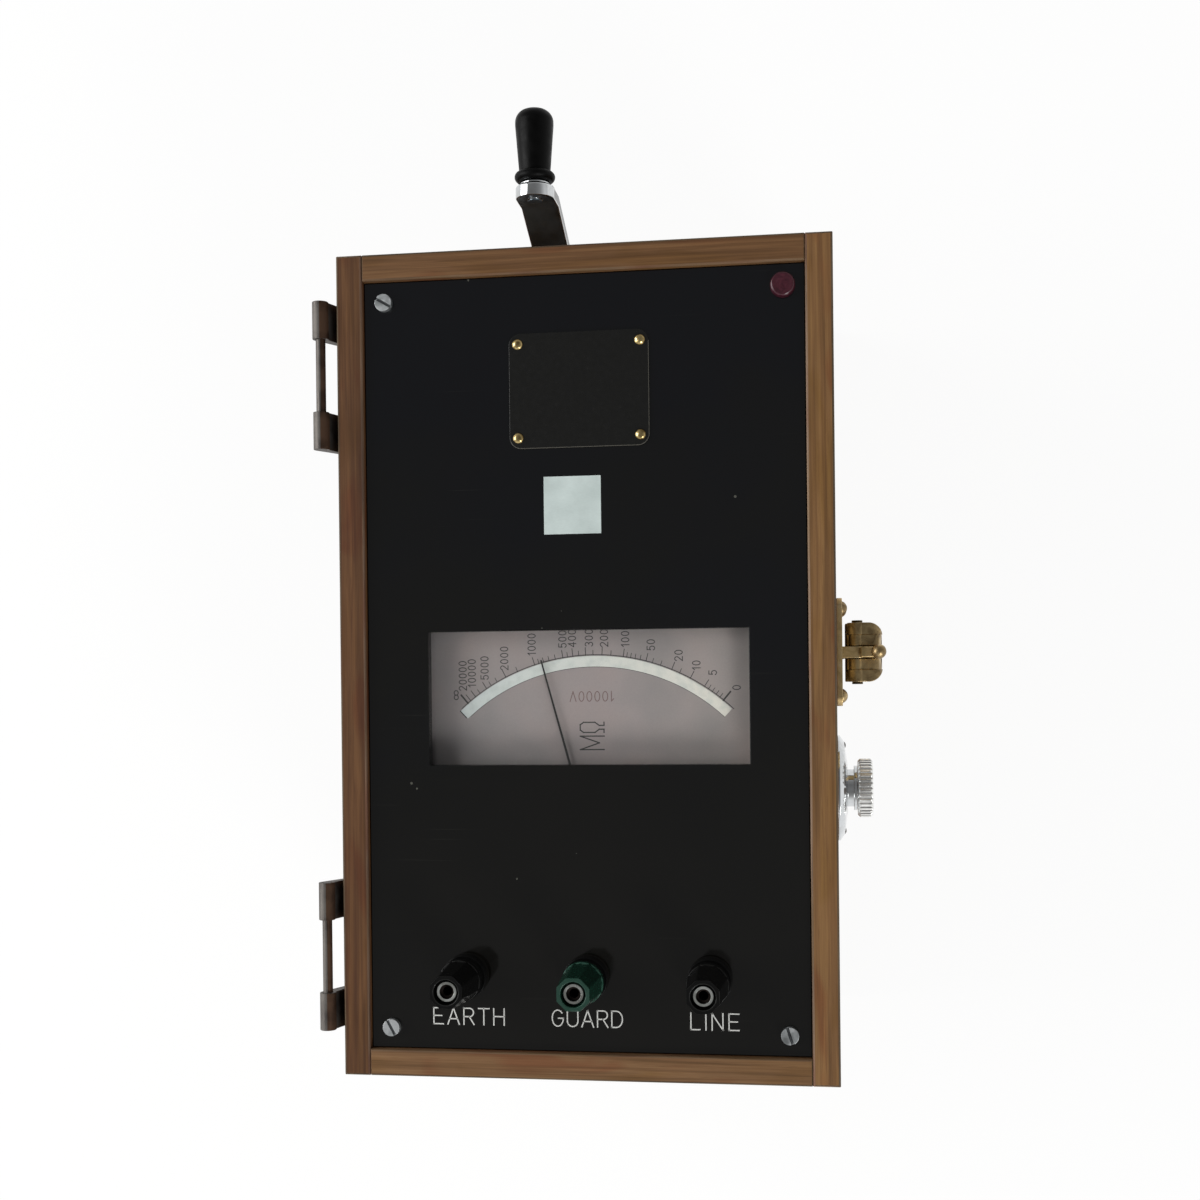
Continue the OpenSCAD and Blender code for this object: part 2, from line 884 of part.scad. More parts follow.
// Knife-edge pointer with a tail weight
module pointer() {
    tip_r = scale_r + 1.5;
    color("black")
        translate([pivot_x, pivot_y, pointer_z])
            rotate(pointer_rest)
                difference() {
                    linear_extrude(pointer_t)
                        union() {
                            circle(r = 4);
                            polygon([[-0.7, 0], [0.7, 0], [0.3, tip_r], [-0.3, tip_r]]);
                            polygon([[-1, -14], [1, -14], [1, 0], [-1, 0]]);
                            translate([0, -16]) circle(r = 3.4);
                        }
                    bar_z(0, 0, -1, pointer_t + 1, spindle_d);
                }
}

// Terminals
module at_terminal(i) {
    translate([term_x + i * terminal_pitch, term_y, 0]) children();
}

module terminal_bases() {
    color("#1c1b1a")
        for (i = [-1 : 1])
            at_terminal(i)
                difference() {
                    union() {
                        bar_z(0, 0, panel_top, panel_top + base_h, base_d);
                        bar_z(0, 0, panel_bot, panel_top + 1, spigot_d);
                    }
                    bar_z(0, 0, panel_bot - 1, panel_top + base_h + 1, stud_d);
                }
}

// Post with a plug socket down its middle and a stud below the panel
module terminal_posts() {
    color("#b8b5ae")
        for (i = [-1 : 1])
            at_terminal(i)
                difference() {
                    union() {
                        bar_z(0, 0, panel_top + base_h, collar_z, shoulder_d);
                        bar_z(0, 0, panel_top + base_h, post_top, post_d);
                        bar_z(0, 0, panel_bot - stud_below, panel_top + base_h + 1, stud_d);
                    }
                    bar_z(0, 0, post_top - lead_in_h, post_top + 1, lead_in_d);
                    bar_z(0, 0, post_top - lead_in_h - socket_depth, post_top, socket_d);
                }
}

module terminal_nuts() {
    color("#a58d55")
        for (i = [-1 : 1])
            at_terminal(i)
                difference() {
                    translate([0, 0, panel_bot - term_nut_h])
                        cylinder(d = term_nut_af / cos(30), h = term_nut_h, $fn = 6);
                    bar_z(0, 0, panel_bot - term_nut_h - 1, panel_bot + 1, stud_d);
                }
}

// Plain ring under the cap that clamps a wire and rises with the cap
module clamp_collar(i) {
    color("#b8b5ae")
        at_terminal(i)
            difference() {
                bar_z(0, 0, collar_z, collar_z + collar_h, collar_d);
                bar_z(0, 0, collar_z - 1, collar_z + collar_h + 1, post_d + 2 * fit);
            }
}

// Tapered cap with eight flats over a round skirt
module terminal_cap(i) {
    skirt_h = 3;
    cap_h = cap_top - cap_z;
    lean = atan((cap_foot_d - cap_top_d) / 2 / cap_h);
    at_terminal(i)
        difference() {
            translate([0, 0, cap_z])
                difference() {
                    cylinder(d1 = cap_foot_d + 1.2, d2 = cap_top_d + 0.9, h = cap_h);
                    for (k = [0 : 7])
                        rotate(45 * k)
                            translate([cap_foot_d / 2, 0, 0])
                                rotate([0, -lean, 0])
                                    translate([0, -cap_foot_d / 2, skirt_h])
                                        cube([cap_foot_d, cap_foot_d, 2 * cap_h]);
                }
            bar_z(0, 0, cap_z - 1, cap_top + 1, post_d + 2 * fit);
            bar_z(0, 0, cap_top - cap_recess_h, cap_top + 1, cap_recess_d);
        }
}

module earth_collar() {
    clamp_collar(-1);
}

module guard_collar() {
    clamp_collar(0);
}

module line_collar() {
    clamp_collar(1);
}

module earth_cap() {
    color("#191919") terminal_cap(-1);
}

module guard_cap() {
    color("#1f5a45") terminal_cap(0);
}

module line_cap() {
    color("#191919") terminal_cap(1);
}

// Crank
module crank_bush() {
    color("#a9a49a")
        difference() {
            union() {
                bar_y(crank_cx, crank_z, in_y, end_y + 1, bush_d);
                turned_y(crank_cx, crank_z, end_y)
                    polygon([[0, 0], [bush_flange_d / 2, 0], [bush_flange_d / 2, 1.6],
                             [bush_flange_d / 2 - 3, bush_flange_t], [0, bush_flange_t]]);
            }
            bar_y(crank_cx, crank_z, in_y - 1, bush_face + 1, shaft_d + 2 * fit);
        }
}

// Turned shape about an axis along Y, drawn as radius and distance from y0
module turned_y(x, z, y0) {
    translate([x, y0, z]) rotate([-90, 0, 0]) rotate_extrude() children();
}

// Turned shape about an axis along X, drawn as radius and distance from x0
module turned_x(y, z, x0) {
    translate([x0, y, z]) rotate([0, 90, 0]) rotate_extrude() children();
}

module crank_shaft() {
    color("#8d9093") {
        bar_y(crank_cx, crank_z, rear_out, hub_y + hub_l - 1, shaft_d);
        bar_y(crank_cx, crank_z, hub_y + hub_l - 2, hub_y + hub_l + nut_h + 1, shaft_tail_d);
    }
}

// Flat arm, set outwards between its hub and its grip eye
module crank_arm() {
    bend_z0 = crank_z + 20;
    bend_z1 = grip_z - 12;
    low_z = crank_z - arm_w / 2;
    high_z = grip_z + arm_w / 2;
    color("#b9bbbd")
        difference() {
            union() {
                intersection() {
                    yz_prism(crank_cx - arm_w / 2, crank_cx + arm_w / 2)
                        polygon([[arm_y, low_z], [arm_y + arm_t, low_z],
                                 [arm_y + arm_t, bend_z0], [eye_y + arm_t, bend_z1],
                                 [eye_y + arm_t, high_z], [eye_y, high_z],
                                 [eye_y, bend_z1], [arm_y, bend_z0]]);
                    xz_prism(arm_y - 1, eye_y + arm_t + 1) {
                        translate([crank_cx, crank_z]) circle(d = arm_w);
                        translate([crank_cx, grip_z]) circle(d = arm_w);
                        translate([crank_cx - arm_w / 2, crank_z]) square([arm_w, crank_r]);
                    }
                }
                turned_y(crank_cx, crank_z, hub_y)
                    polygon([[0, 0], [hub_r, 0], [hub_r, hub_l - 1.2],
                             [hub_r - 1.2, hub_l], [0, hub_l]]);
                turned_y(crank_cx, grip_z, eye_y + arm_t - 1)
                    polygon([[0, 0], [arm_w / 2, 0], [arm_w / 2, 1],
                             [arm_w / 2 - 1.4, 1 + eye_boss_h], [0, 1 + eye_boss_h]]);
            }
            bar_y(crank_cx, crank_z, hub_y - 1, hub_y + hub_l - 1, shaft_d);
            bar_y(crank_cx, crank_z, hub_y, hub_y + hub_l + 1, shaft_tail_d);
            bar_y(crank_cx, grip_z, eye_y - 1, eye_face + 1, grip_pin_d);
        }
}

module crank_nut() {
    color("silver")
        difference() {
            xz_prism(hub_y + hub_l, hub_y + hub_l + nut_h)
                translate([crank_cx, crank_z]) circle(d = nut_af / cos(30), $fn = 6);
            bar_y(crank_cx, crank_z, hub_y + hub_l - 1, hub_y + hub_l + nut_h + 1,
                  shaft_tail_d);
        }
}

module crank_gear() {
    color("#b08d4a")
        difference() {
            union() {
                gear(crank_cx, crank_z, wheel_y0, wheel_y1, wheel_teeth, lay_angle);
                bar_y(crank_cx, crank_z, wheel_y0 - wheel_hub_l, wheel_y1, wheel_hub_d);
            }
            bar_y(crank_cx, crank_z, wheel_y0 - wheel_hub_l - 1, wheel_y1 + 1, shaft_d);
            for (a = [0 : 60 : 300])
                translate([crank_cx + wheel_hole_r * cos(a), 0, crank_z + wheel_hole_r * sin(a)])
                    bar_y(0, 0, wheel_y0 - 1, wheel_y1 + 1, wheel_hole_d);
        }
}

// Pin riveted into the arm's eye, with the thrust washer that the grip bears on
module grip_spindle() {
    color("silver") {
        bar_y(crank_cx, grip_z, eye_y - 0.8, grip_pin_end, grip_pin_d);
        turned_y(crank_cx, grip_z, eye_face)
            polygon([[0, 0], [6.4, 0], [6.6, 0.4], [6.4, washer_t], [0, washer_t]]);
    }
}

// Moulded grip: domed end, waisted body and a rounded flange at the foot
module crank_grip() {
    top_r = grip_d / 2;
    waist_r = grip_d * 0.41;
    foot_r = top_r + 0.5;
    color("#141414")
        difference() {
            turned_y(crank_cx, grip_z, grip_y)
                intersection() {
                    square([2 * top_r, grip_l]);
                    union() {
                        polygon([[0, 0.6], [foot_r - 2.2, 0.6], [foot_r - 2.2, 4], [waist_r, 5],
                                 [top_r, grip_l - 7], [0, grip_l - 7]]);
                        translate([foot_r - 2.2, 2.2]) circle(r = 2.2);
                        square([foot_r - 2.2, 4.4]);
                        translate([0, grip_l - 7])
                            intersection() {
                                dome_outline(top_r, 7);
                                square([top_r, 7]);
                            }
                    }
                }
            bar_y(crank_cx, grip_z, grip_y - 1, grip_pin_end + 0.5, grip_pin_d + 2 * fit);
        }
}

// Half outline of a soft dome: a flat middle with a round shoulder
module dome_outline(r, h) {
    shoulder = 5.4;
    union() {
        square([r, h - shoulder]);
        translate([r - shoulder, h - shoulder - 0.01]) circle(r = shoulder);
        square([r - shoulder, h]);
    }
}

// Gear train
module lay_shaft() {
    color("#8d9093") {
        bar_y(lay_x, lay_z, rear_out, in_y, small_shaft_d);
        gear(lay_x, lay_z, wheel_y0 - pinion_lip, wheel_y1 + pinion_lip, pinion_teeth,
             lay_angle + 180 + 180 / pinion_teeth);
    }
}

module lay_wheel() {
    color("#b08d4a")
        difference() {
            union() {
                gear(lay_x, lay_z, lay_y0, lay_y1, lay_teeth, rotor_angle);
                bar_y(lay_x, lay_z, lay_y0 - lay_hub_l, lay_y1, lay_hub_d);
            }
            bar_y(lay_x, lay_z, lay_y0 - lay_hub_l - 1, lay_y1 + 1, small_shaft_d);
        }
}

module rotor_shaft() {
    color("#8d9093") {
        bar_y(rotor_x, rotor_z, rear_out, in_y, small_shaft_d);
        gear(rotor_x, rotor_z, lay_y0 - pinion_lip, lay_y1 + pinion_lip, pinion_teeth,
             rotor_angle + 180 + 180 / pinion_teeth);
    }
}

module rotor_magnet() {
    color("#4b4f52")
        difference() {
            bar_y(rotor_x, rotor_z, stack_y0, stack_y1, rotor_d);
            bar_y(rotor_x, rotor_z, stack_y0 - 1, stack_y1 + 1, small_shaft_d);
        }
}

module gear_plates() {
    color("#8f8b80")
        for (y = [rear_out, front_in])
            difference() {
                block([gen_x0, y, gen_z0], [gen_x1, y + gen_plate_t, gen_z1]);
                for (p = shaft_places)
                    bar_y(p[0], p[1], y - 1, y + gen_plate_t + 1, p[2] + 2 * bush_wall);
            }
}

// Pillars between the plates, and short ones that hold the stator off the rear plate
module plate_pillars() {
    inset = gen_pillar_d / 2 + gen_pillar_edge;
    ring_mid = (ring_in_r + ring_out_r) / 2;
    color("#a9a49a") {
        for (x = [gen_x0 + inset, gen_x1 - inset], z = [gen_z0 + inset, gen_z1 - inset])
            bar_y(x, z, rear_in, front_in, gen_pillar_d);
        for (a = [45 : 90 : 315])
            bar_y(rotor_x + ring_mid * cos(a), rotor_z + ring_mid * sin(a),
                  rear_in, stack_y0, standoff_d);
    }
}

module shaft_bushes() {
    color("#b58b4c")
        for (p = shaft_places, front = [0, 1])
            let (y0 = front == 1 ? front_in - bush_lip : rear_out,
                 y1 = front == 1 ? in_y : rear_in + bush_lip,
                 lip = front == 1 ? front_in - bush_lip : rear_in)
            difference() {
                union() {
                    bar_y(p[0], p[1], y0, y1, p[2] + 2 * bush_wall);
                    bar_y(p[0], p[1], lip, lip + bush_lip, p[2] + 2 * bush_wall + 3);
                }
                bar_y(p[0], p[1], y0 - 1, y1 + 1, p[2] + 2 * fit);
            }
}

// Laminated ring with four poles
module stator_core() {
    color("#606468")
        xz_prism(stack_y0, stack_y1)
            translate([rotor_x, rotor_z])
                difference() {
                    union() {
                        difference() {
                            circle(r = ring_out_r);
                            circle(r = ring_in_r);
                        }
                        for (a = [0 : 90 : 270])
                            rotate(a)
                                translate([0, -stator_pole_w / 2])
                                    square([ring_in_r + 1, stator_pole_w]);
                    }
                    circle(r = pole_face_r);
                }
}

module stator_coils() {
    reach0 = pole_face_r + 1.6;
    reach1 = sqrt(pow(ring_in_r, 2) - pow(stator_pole_w / 2 + coil_bundle, 2)) - 0.3;
    half = stator_pole_w / 2 + 0.2;
    color("#9a4f24")
        for (a = [0 : 90 : 270])
            translate([rotor_x, 0, rotor_z])
                rotate([0, -a, 0])
                    difference() {
                        block([reach0, stack_y0 - coil_over, -half - coil_bundle],
                              [reach1, stack_y1 + coil_over, half + coil_bundle]);
                        block([reach0 - 1, stack_y0 - 0.2, -half],
                              [reach1 + 1, stack_y1 + 0.2, half]);
                    }
}

// Cast block of the voltage multiplier, with two ears on the base board
module multiplier_block() {
    color("#2b2b30") {
        translate([0, block_y, base_t])
            linear_extrude(block_h) round_rect(block_w, block_l, 4);
        translate([0, block_y, base_t])
            linear_extrude(5) round_rect(block_w + 2 * block_ear, block_l / 2, 4);
        for (x = [-30 : 20 : 30])
            bar_z(x, block_y, base_t + block_h - 1, base_t + block_h + 7, 5);
    }
}

// Adjuster
module adjuster_flange() {
    color("#c3c6c8")
        difference() {
            union() {
                turned_x(-adjuster_y, adj_z, side_x)
                    union() {
                        polygon([[0, 0], [flange_d / 2, 0], [flange_d / 2, flange_lip],
                                 [flange_d / 2 - 3, flange_t - 1.4],
                                 [adj_collar_d / 2 + 1, flange_t], [0, flange_t]]);
                        square([adj_collar_d / 2 - 1.6, flange_t + adj_collar_l]);
                        translate([0, flange_t + adj_collar_l - 1.4])
                            square([adj_collar_d / 2, 1.4]);
                    }
                bar_x(-adjuster_y, adj_z, in_x, side_x + 1, adj_stem_d);
            }
            bar_x(-adjuster_y, adj_z, in_x - 1, knob_x0, adj_spindle_d + 2 * fit);
            flange_screw_places() {
                bar_x(0, 0, side_x - 1, side_x + flange_t + 1, flange_screw_d);
                bar_x(0, 0, side_x + flange_screw_seat, side_x + flange_t + 1,
                      flange_screw_head_d + 0.2);
            }
        }
}

module flange_screw_places() {
    for (a = [0 : 90 : 270])
        translate([0, -adjuster_y + flange_screw_r * cos(a), adj_z + flange_screw_r * sin(a)])
            children();
}

// Ridged knob, one piece with the spindle that runs into the control
module adjuster_knob() {
    r = knob_d / 2;
    step = 360 / ridges;
    ridge_points = [for (i = [0 : ridges - 1], k = [0 : 3])
        let (a = step * (i + [0, 0.3, 0.5, 0.8][k]), q = k < 2 ? r : r - knob_depth)
        [q * cos(a), q * sin(a)]];
    color("#c9cccf") {
        intersection() {
            yz_prism(knob_x0, knob_x0 + knob_t)
                translate([-adjuster_y, adj_z]) polygon(ridge_points);
            turned_x(-adjuster_y, adj_z, knob_x0)
                polygon([[0, 0], [r - 1, 0], [r + 0.1, 1.1], [r + 0.1, knob_t - 1.1],
                         [r - 1, knob_t], [0, knob_t]]);
        }
        bar_x(-adjuster_y, adj_z, in_x - control_l + 2, knob_x0 + 1, adj_spindle_d);
    }
}

module adjuster_control() {
    color("#33302c")
        difference() {
            turned_x(-adjuster_y, adj_z, in_x - control_l)
                polygon([[0, 0], [control_d / 2 - 1.5, 0], [control_d / 2, 1.5],
                         [control_d / 2, control_l - 4], [control_d / 3, control_l - 4],
                         [control_d / 3, control_l], [0, control_l]]);
            bar_x(-adjuster_y, adj_z, in_x - control_l + 1.7, in_x + 1,
                  adj_spindle_d + 2 * fit);
        }
}

// Latch
module latch_base() {
    color("#8d7a50")
        difference() {
            union() {
                yz_prism(side_x, side_x + latch_t)
                    translate([latch_y, latch_top - latch_h / 2])
                        round_rect(latch_l, latch_h, 4);
                xz_prism(latch_y - lug_w / 2, latch_y + lug_w / 2)
                    union() {
                        translate([pin_a_x, pin_a_z]) circle(r = lug_r);
                        translate([side_x + 1, pin_a_z - lug_r])
                            square([pin_a_x - side_x - 1, 2 * lug_r]);
                        polygon([[side_x + 1, pin_a_z - lug_r - brace_l],
                                 [side_x + latch_t, pin_a_z - lug_r - brace_l],
                                 [side_x + latch_t + brace_w, pin_a_z - lug_r + 0.1],
                                 [side_x + 1, pin_a_z - lug_r + 0.1]]);
                    }
            }
            bar_y(pin_a_x, pin_a_z, latch_y - lug_w, latch_y + lug_w, lever_pin_d + 2 * fit);
            latch_screw_places() bar_x(0, 0, side_x - 1, side_x + latch_t + 1, latch_screw_d);
        }
}

module latch_screw_places() {
    for (s = [-1, 1], z = [0.22, 0.78])
        translate([0, latch_y + s * (latch_l / 2 - latch_screw_in), latch_top - latch_h * z])
            children();
}

module latch_screws() {
    color("#8d7a50")
        latch_screw_places() side_screw(latch_t, latch_screw_d, latch_screw_head_d, 2.2);
}

// Lever: cheeks each side of the lug, a rounded back with a slot for the hook, a finger end
module latch_lever() {
    slot = lug_w / 2 + side_gap;
    tail_x = side_x + latch_t + lever_tail_gap;
    back = pin_a_x + cheek_r + 0.2;
    recess_top = pin_a_z - cheek_r - 0.6;
    recess_w = lever_w / 2 - lever_rim;
    color("#8d7a50")
        difference() {
            intersection() {
                xz_prism(latch_y - lever_w / 2, latch_y + lever_w / 2)
                    union() {
                        translate([pin_a_x, pin_a_z]) circle(r = cheek_r);
                        polygon([[tail_x, recess_top - tail_w / 3], [tail_x, lever_foot + tail_w],
                                 [tail_x + 0.7 * tail_w, lever_foot - tail_tip],
                                 [tail_x + tail_w, lever_foot],
                                 [tail_x + tail_w * 2 / 3, lever_foot + tail_w * 2 / 3],
                                 [lever_face, pin_a_z - lever_drop],
                                 [lever_face, lever_top - 3], [lever_face - 1, lever_top],
                                 [lever_face - 4, lever_top + 1.6],
                                 [pin_a_x - 0.5, pin_a_z + cheek_r - 0.5],
                                 [pin_a_x - 1, pin_a_z - cheek_r + 0.6]]);
                    }
                linear_extrude(case_h)
                    translate([(tail_x + lever_face) / 2 - 8, latch_y])
                        round_rect(lever_face - tail_x + 16, lever_w, 6);
            }
            block([tail_x - tail_w, latch_y - slot, pin_a_z - lever_drop + 1],
                  [lever_face + 1, latch_y + slot, case_h]);
            xz_prism(latch_y - recess_w, latch_y + recess_w)
                polygon([[tail_x - 1, recess_top], [back, recess_top],
                         [lever_face - 2.4, pin_a_z - lever_drop - 1],
                         [tail_x + 3.2, lever_foot + tail_w], [tail_x - 1, lever_foot + 14]]);
            bar_y(pin_a_x, pin_a_z, latch_y - lever_w, latch_y + lever_w, lever_pin_d);
            bar_y(pin_b_x, pin_b_z, latch_y - lever_w / 2 + 3, latch_y + lever_w / 2 - 3,
                  hook_pin_d);
        }
}

module latch_pins() {
    color("#a08c5c") {
        bar_y(pin_a_x, pin_a_z, latch_y - lever_w / 2 - 1, latch_y + lever_w / 2 + 1,
              lever_pin_d);
        for (s = [-1, 1])
            bar_y(pin_a_x, pin_a_z, latch_y + s * (lever_w / 2 + 0.5) - 0.5,
                  latch_y + s * (lever_w / 2 + 0.5) + 0.5, lever_pin_d + 1.4);
        bar_y(pin_b_x, pin_b_z, latch_y - lever_w / 2 + 3, latch_y + lever_w / 2 - 3,
              hook_pin_d);
    }
}

// Hook that stands up from the lever and takes the lid's catch under its nose
module latch_hook() {
    stem_x = pin_b_x + 1.4 - stem_w / 2;
    color("#8d7a50")
        difference() {
            union() {
                xz_prism(latch_y - lug_w / 2, latch_y + lug_w / 2)
                    union() {
                        translate([pin_b_x, pin_b_z]) circle(r = hook_r);
                        polygon([[stem_x, pin_b_z], [stem_x + stem_w, pin_b_z],
                                 [stem_x + stem_w, hook_top - ball_d / 2],
                                 [stem_x, hook_top - ball_d / 2]]);
                    }
                translate([stem_x + stem_w / 2, latch_y, hook_top - ball_d / 2])
                    sphere(d = ball_d);
            }
            bar_y(pin_b_x, pin_b_z, latch_y - lug_w, latch_y + lug_w, hook_pin_d + 2 * fit);
        }
}

// Hinges
module at_hinges() {
    for (s = [-1, 1])
        translate([0, s * (end_y - hinge_inset - hinge_l / 2), 0]) children();
}

module hinge_leaf() {
    face = -side_x;
    knuckle_l = (hinge_l - hinge_free) / 2;
    difference() {
        union() {
            yz_prism(face - leaf_t, face)
                translate([0, leaf_top - leaf_h / 2]) round_rect(hinge_l, leaf_h, 2);
            for (s = [-1, 1])
                xz_prism(s > 0 ? hinge_free / 2 : -hinge_l / 2,
                         s > 0 ? hinge_l / 2 : -hinge_free / 2)
                    union() {
                        translate([hinge_x, hinge_z]) circle(d = knuckle_d);
                        polygon([[face, leaf_top - 4], [face, leaf_top + 1],
                                 [hinge_x + knuckle_d / 2 - 0.6, hinge_z - 1.2],
                                 [hinge_x - knuckle_d / 2 + 0.6, hinge_z - 2],
                                 [face - leaf_t, leaf_top - 1.5],
                                 [face - leaf_t, leaf_top - 4]]);
                    }
        }
        bar_y(hinge_x, hinge_z, -hinge_l, hinge_l, hinge_pin_d);
        hinge_screw_places() bar_x(0, 0, face - leaf_t - 1, face + 1, hinge_screw_d);
    }
}

module hinge_screw_places() {
    for (s = [-1 : 1])
        translate([0, s * (hinge_l / 2 - 9), leaf_top - leaf_h / 2 - 3]) children();
}

// Leaves with their knuckles
module hinge_leaves() {
    color("#9a958a") at_hinges() hinge_leaf();
}

module hinge_pins() {
    color("#a5a095")
        at_hinges() bar_y(hinge_x, hinge_z, -hinge_l / 2, hinge_l / 2, hinge_pin_d);
}

case_side_left();
case_side_right();
case_end_crank();
case_end_terminals();
case_bottom();
corner_posts();
case_screws();
front_panel();
panel_screws();
wax_seal();
name_plate();
plate_rivets();
label_sticker();
window_glass();
scale_plate();
scale_mirror();
meter_frame();
meter_magnet();
pole_pieces();
meter_core();
jewel_bearings();
meter_spindle();
moving_coils();
pointer();
terminal_bases();
terminal_posts();
terminal_nuts();
earth_collar();
guard_collar();
line_collar();
earth_cap();
guard_cap();
line_cap();
crank_bush();
crank_shaft();
crank_arm();
crank_nut();
crank_gear();
grip_spindle();
crank_grip();
lay_shaft();
lay_wheel();
rotor_shaft();
rotor_magnet();
gear_plates();
plate_pillars();
shaft_bushes();
stator_core();
stator_coils();
multiplier_block();
adjuster_flange();
adjuster_knob();
adjuster_control();
latch_base();
latch_screws();
latch_lever();
latch_pins();
latch_hook();
hinge_leaves();
hinge_pins();
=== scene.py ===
import math

import bmesh
import bpy
from mathutils import Matrix, Vector, noise


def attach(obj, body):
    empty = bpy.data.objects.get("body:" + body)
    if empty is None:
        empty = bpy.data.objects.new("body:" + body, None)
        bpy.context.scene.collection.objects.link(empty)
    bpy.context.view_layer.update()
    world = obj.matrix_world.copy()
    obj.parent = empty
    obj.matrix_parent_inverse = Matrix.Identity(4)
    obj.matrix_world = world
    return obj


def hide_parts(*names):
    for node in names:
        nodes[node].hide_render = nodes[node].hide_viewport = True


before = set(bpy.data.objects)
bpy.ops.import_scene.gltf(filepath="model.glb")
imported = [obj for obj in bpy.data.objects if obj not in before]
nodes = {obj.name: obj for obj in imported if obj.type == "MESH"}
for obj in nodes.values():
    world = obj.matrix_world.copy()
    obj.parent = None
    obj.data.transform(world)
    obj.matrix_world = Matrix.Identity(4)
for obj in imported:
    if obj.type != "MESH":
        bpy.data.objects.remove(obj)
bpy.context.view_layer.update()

# Sizes below are in millimetres, in the frame of the CAD, and MM turns them into metres
MM = 0.001
X, Y, Z = Vector((1, 0, 0)), Vector((0, 1, 0)), Vector((0, 0, 1))

# Camera: a hand-held view from above the latch side, solved from the case's own corners
camera_data = bpy.data.cameras.new("camera")
camera_data.lens = 46.8
camera_data.sensor_width = 36
camera_data.shift_y = 0.075
camera_data.clip_start, camera_data.clip_end = 0.01, 60
camera = bpy.data.objects.new("camera", camera_data)
camera_at = (0.1026, -0.0080, 0.8413)
camera_axes = Matrix(((0.9895, -0.0108, -0.1443), (0.0099, 0.9999, -0.0068),
                      (0.1444, 0.0053, 0.9895)))
camera.matrix_world = Matrix.Translation(camera_at) @ camera_axes.transposed().to_4x4()
bpy.context.scene.collection.objects.link(camera)
bpy.context.scene.camera = camera


# Node trees

def linear(shade):
    """sRGB hex, or a grey from 0 to 1, to a linear colour."""
    if not isinstance(shade, str):
        return [shade, shade, shade, 1]
    parts = [int(shade[i:i + 2], 16) / 255 for i in (1, 3, 5)]
    return [c / 12.92 if c <= 0.04045 else ((c + 0.055) / 1.055) ** 2.4 for c in parts] + [1]


def add(tree, kind, inputs, out=0, stops=(), **settings):
    """Adds a node with its settings and links, and gives one of its outputs.

    An input is a value, a hex colour or another node's output. Stops are the places and shades of
    a colour ramp.
    """
    made = tree.nodes.new("ShaderNode" + kind)
    for key, value in settings.items():
        setattr(made, key, value)
    for key, value in inputs.items():
        if isinstance(value, bpy.types.NodeSocket):
            tree.links.new(value, made.inputs[key])
        else:
            made.inputs[key].default_value = linear(value) if isinstance(value, str) else value
    for index, (spot, shade) in enumerate(stops):
        keys = made.color_ramp.elements
        key = keys[index] if index < 2 else keys.new(spot)
        key.position, key.color = spot, linear(shade)
    return made.outputs[out] if made.outputs else made


# Sockets of the Mix node for colours
SHARE, UNDER, OVER, MIXED = 0, 6, 7, 2


def bare(name):
    """A new material, its empty node tree and the Object coordinates in it."""
    material = bpy.data.materials.new(name)
    material.use_nodes = True
    material.node_tree.nodes.clear()
    return material, material.node_tree, add(material.node_tree, "TexCoord", {}, "Object")


def shaded(tree, sockets):
    """Ends a material's tree with its shader and its output."""
    add(tree, "OutputMaterial", {"Surface": add(tree, "BsdfPrincipled", sockets)})


# Finishes

def oiled_teak(name, along, dark, mid, light, seed):
    """Oiled teak, planed: soft wavy bands, fine streaks, reddish and olive patches, short pores."""
    material, tree, coords = bare(name)

    def stretched(length_mm, width_mm):
        return add(tree, "Mapping", {
            "Vector": coords, "Location": (seed * 0.37, seed * 0.61, seed * 0.23),
            "Scale": [1000 / (length_mm if axis == along else width_mm) for axis in "xyz"]})

    streaks = add(tree, "TexNoise", {"Vector": stretched(75, 1.5), "Scale": 1.0, "Detail": 4.0,
                                     "Roughness": 0.6, "Distortion": 0.5})
    bands = add(tree, "TexNoise", {"Vector": stretched(150, 6.5), "Scale": 1.0, "Detail": 3.0,
                                   "Distortion": 1.1})
    patches = add(tree, "TexNoise", {"Vector": stretched(48, 13), "Scale": 1.0, "Detail": 2.0,
                                     "Distortion": 0.4})
    # Pores are 0.2 mm wide on the real board and are drawn 0.6 mm wide and 11 mm long, to show
    pores = add(tree, "TexNoise", {"Vector": stretched(11, 0.6), "Scale": 1.0, "Detail": 1.0})
    tone = add(tree, "ValToRGB", {"Fac": streaks}, stops=((0.27, dark), (0.5, mid), (0.72, light)))
    shadow = add(tree, "ValToRGB", {"Fac": bands}, stops=((0.36, 0.78), (0.5, 0.97), (0.66, 1.0)))
    tone = add(tree, "Mix", {SHARE: 1.0, UNDER: tone, OVER: shadow}, MIXED, data_type="RGBA",
               blend_type="MULTIPLY")
    hue = add(tree, "ValToRGB", {"Fac": patches},
              stops=((0.36, "#e3a08a"), (0.47, "#ffffff"), (0.55, "#ffffff"), (0.66, "#e4dca6")))
    tone = add(tree, "Mix", {SHARE: 0.42, UNDER: tone, OVER: hue}, MIXED, data_type="RGBA",
               blend_type="MULTIPLY")
    pitted = add(tree, "ValToRGB", {"Fac": pores}, stops=((0.65, 0.0), (0.76, 0.45)))
    tone = add(tree, "Mix", {SHARE: pitted, UNDER: tone, OVER: dark}, MIXED, data_type="RGBA")
    height = add(tree, "Math", {0: streaks, 1: pitted}, operation="SUBTRACT")
    shaded(tree, {
        "Base Color": tone, "Specular IOR Level": 0.22,
        "Roughness": add(tree, "ValToRGB", {"Fac": streaks}, stops=((0.3, 0.64), (0.7, 0.47))),
        "Normal": add(tree, "Bump", {"Height": height, "Strength": 0.28, "Distance": 0.1 * MM})})
    return material


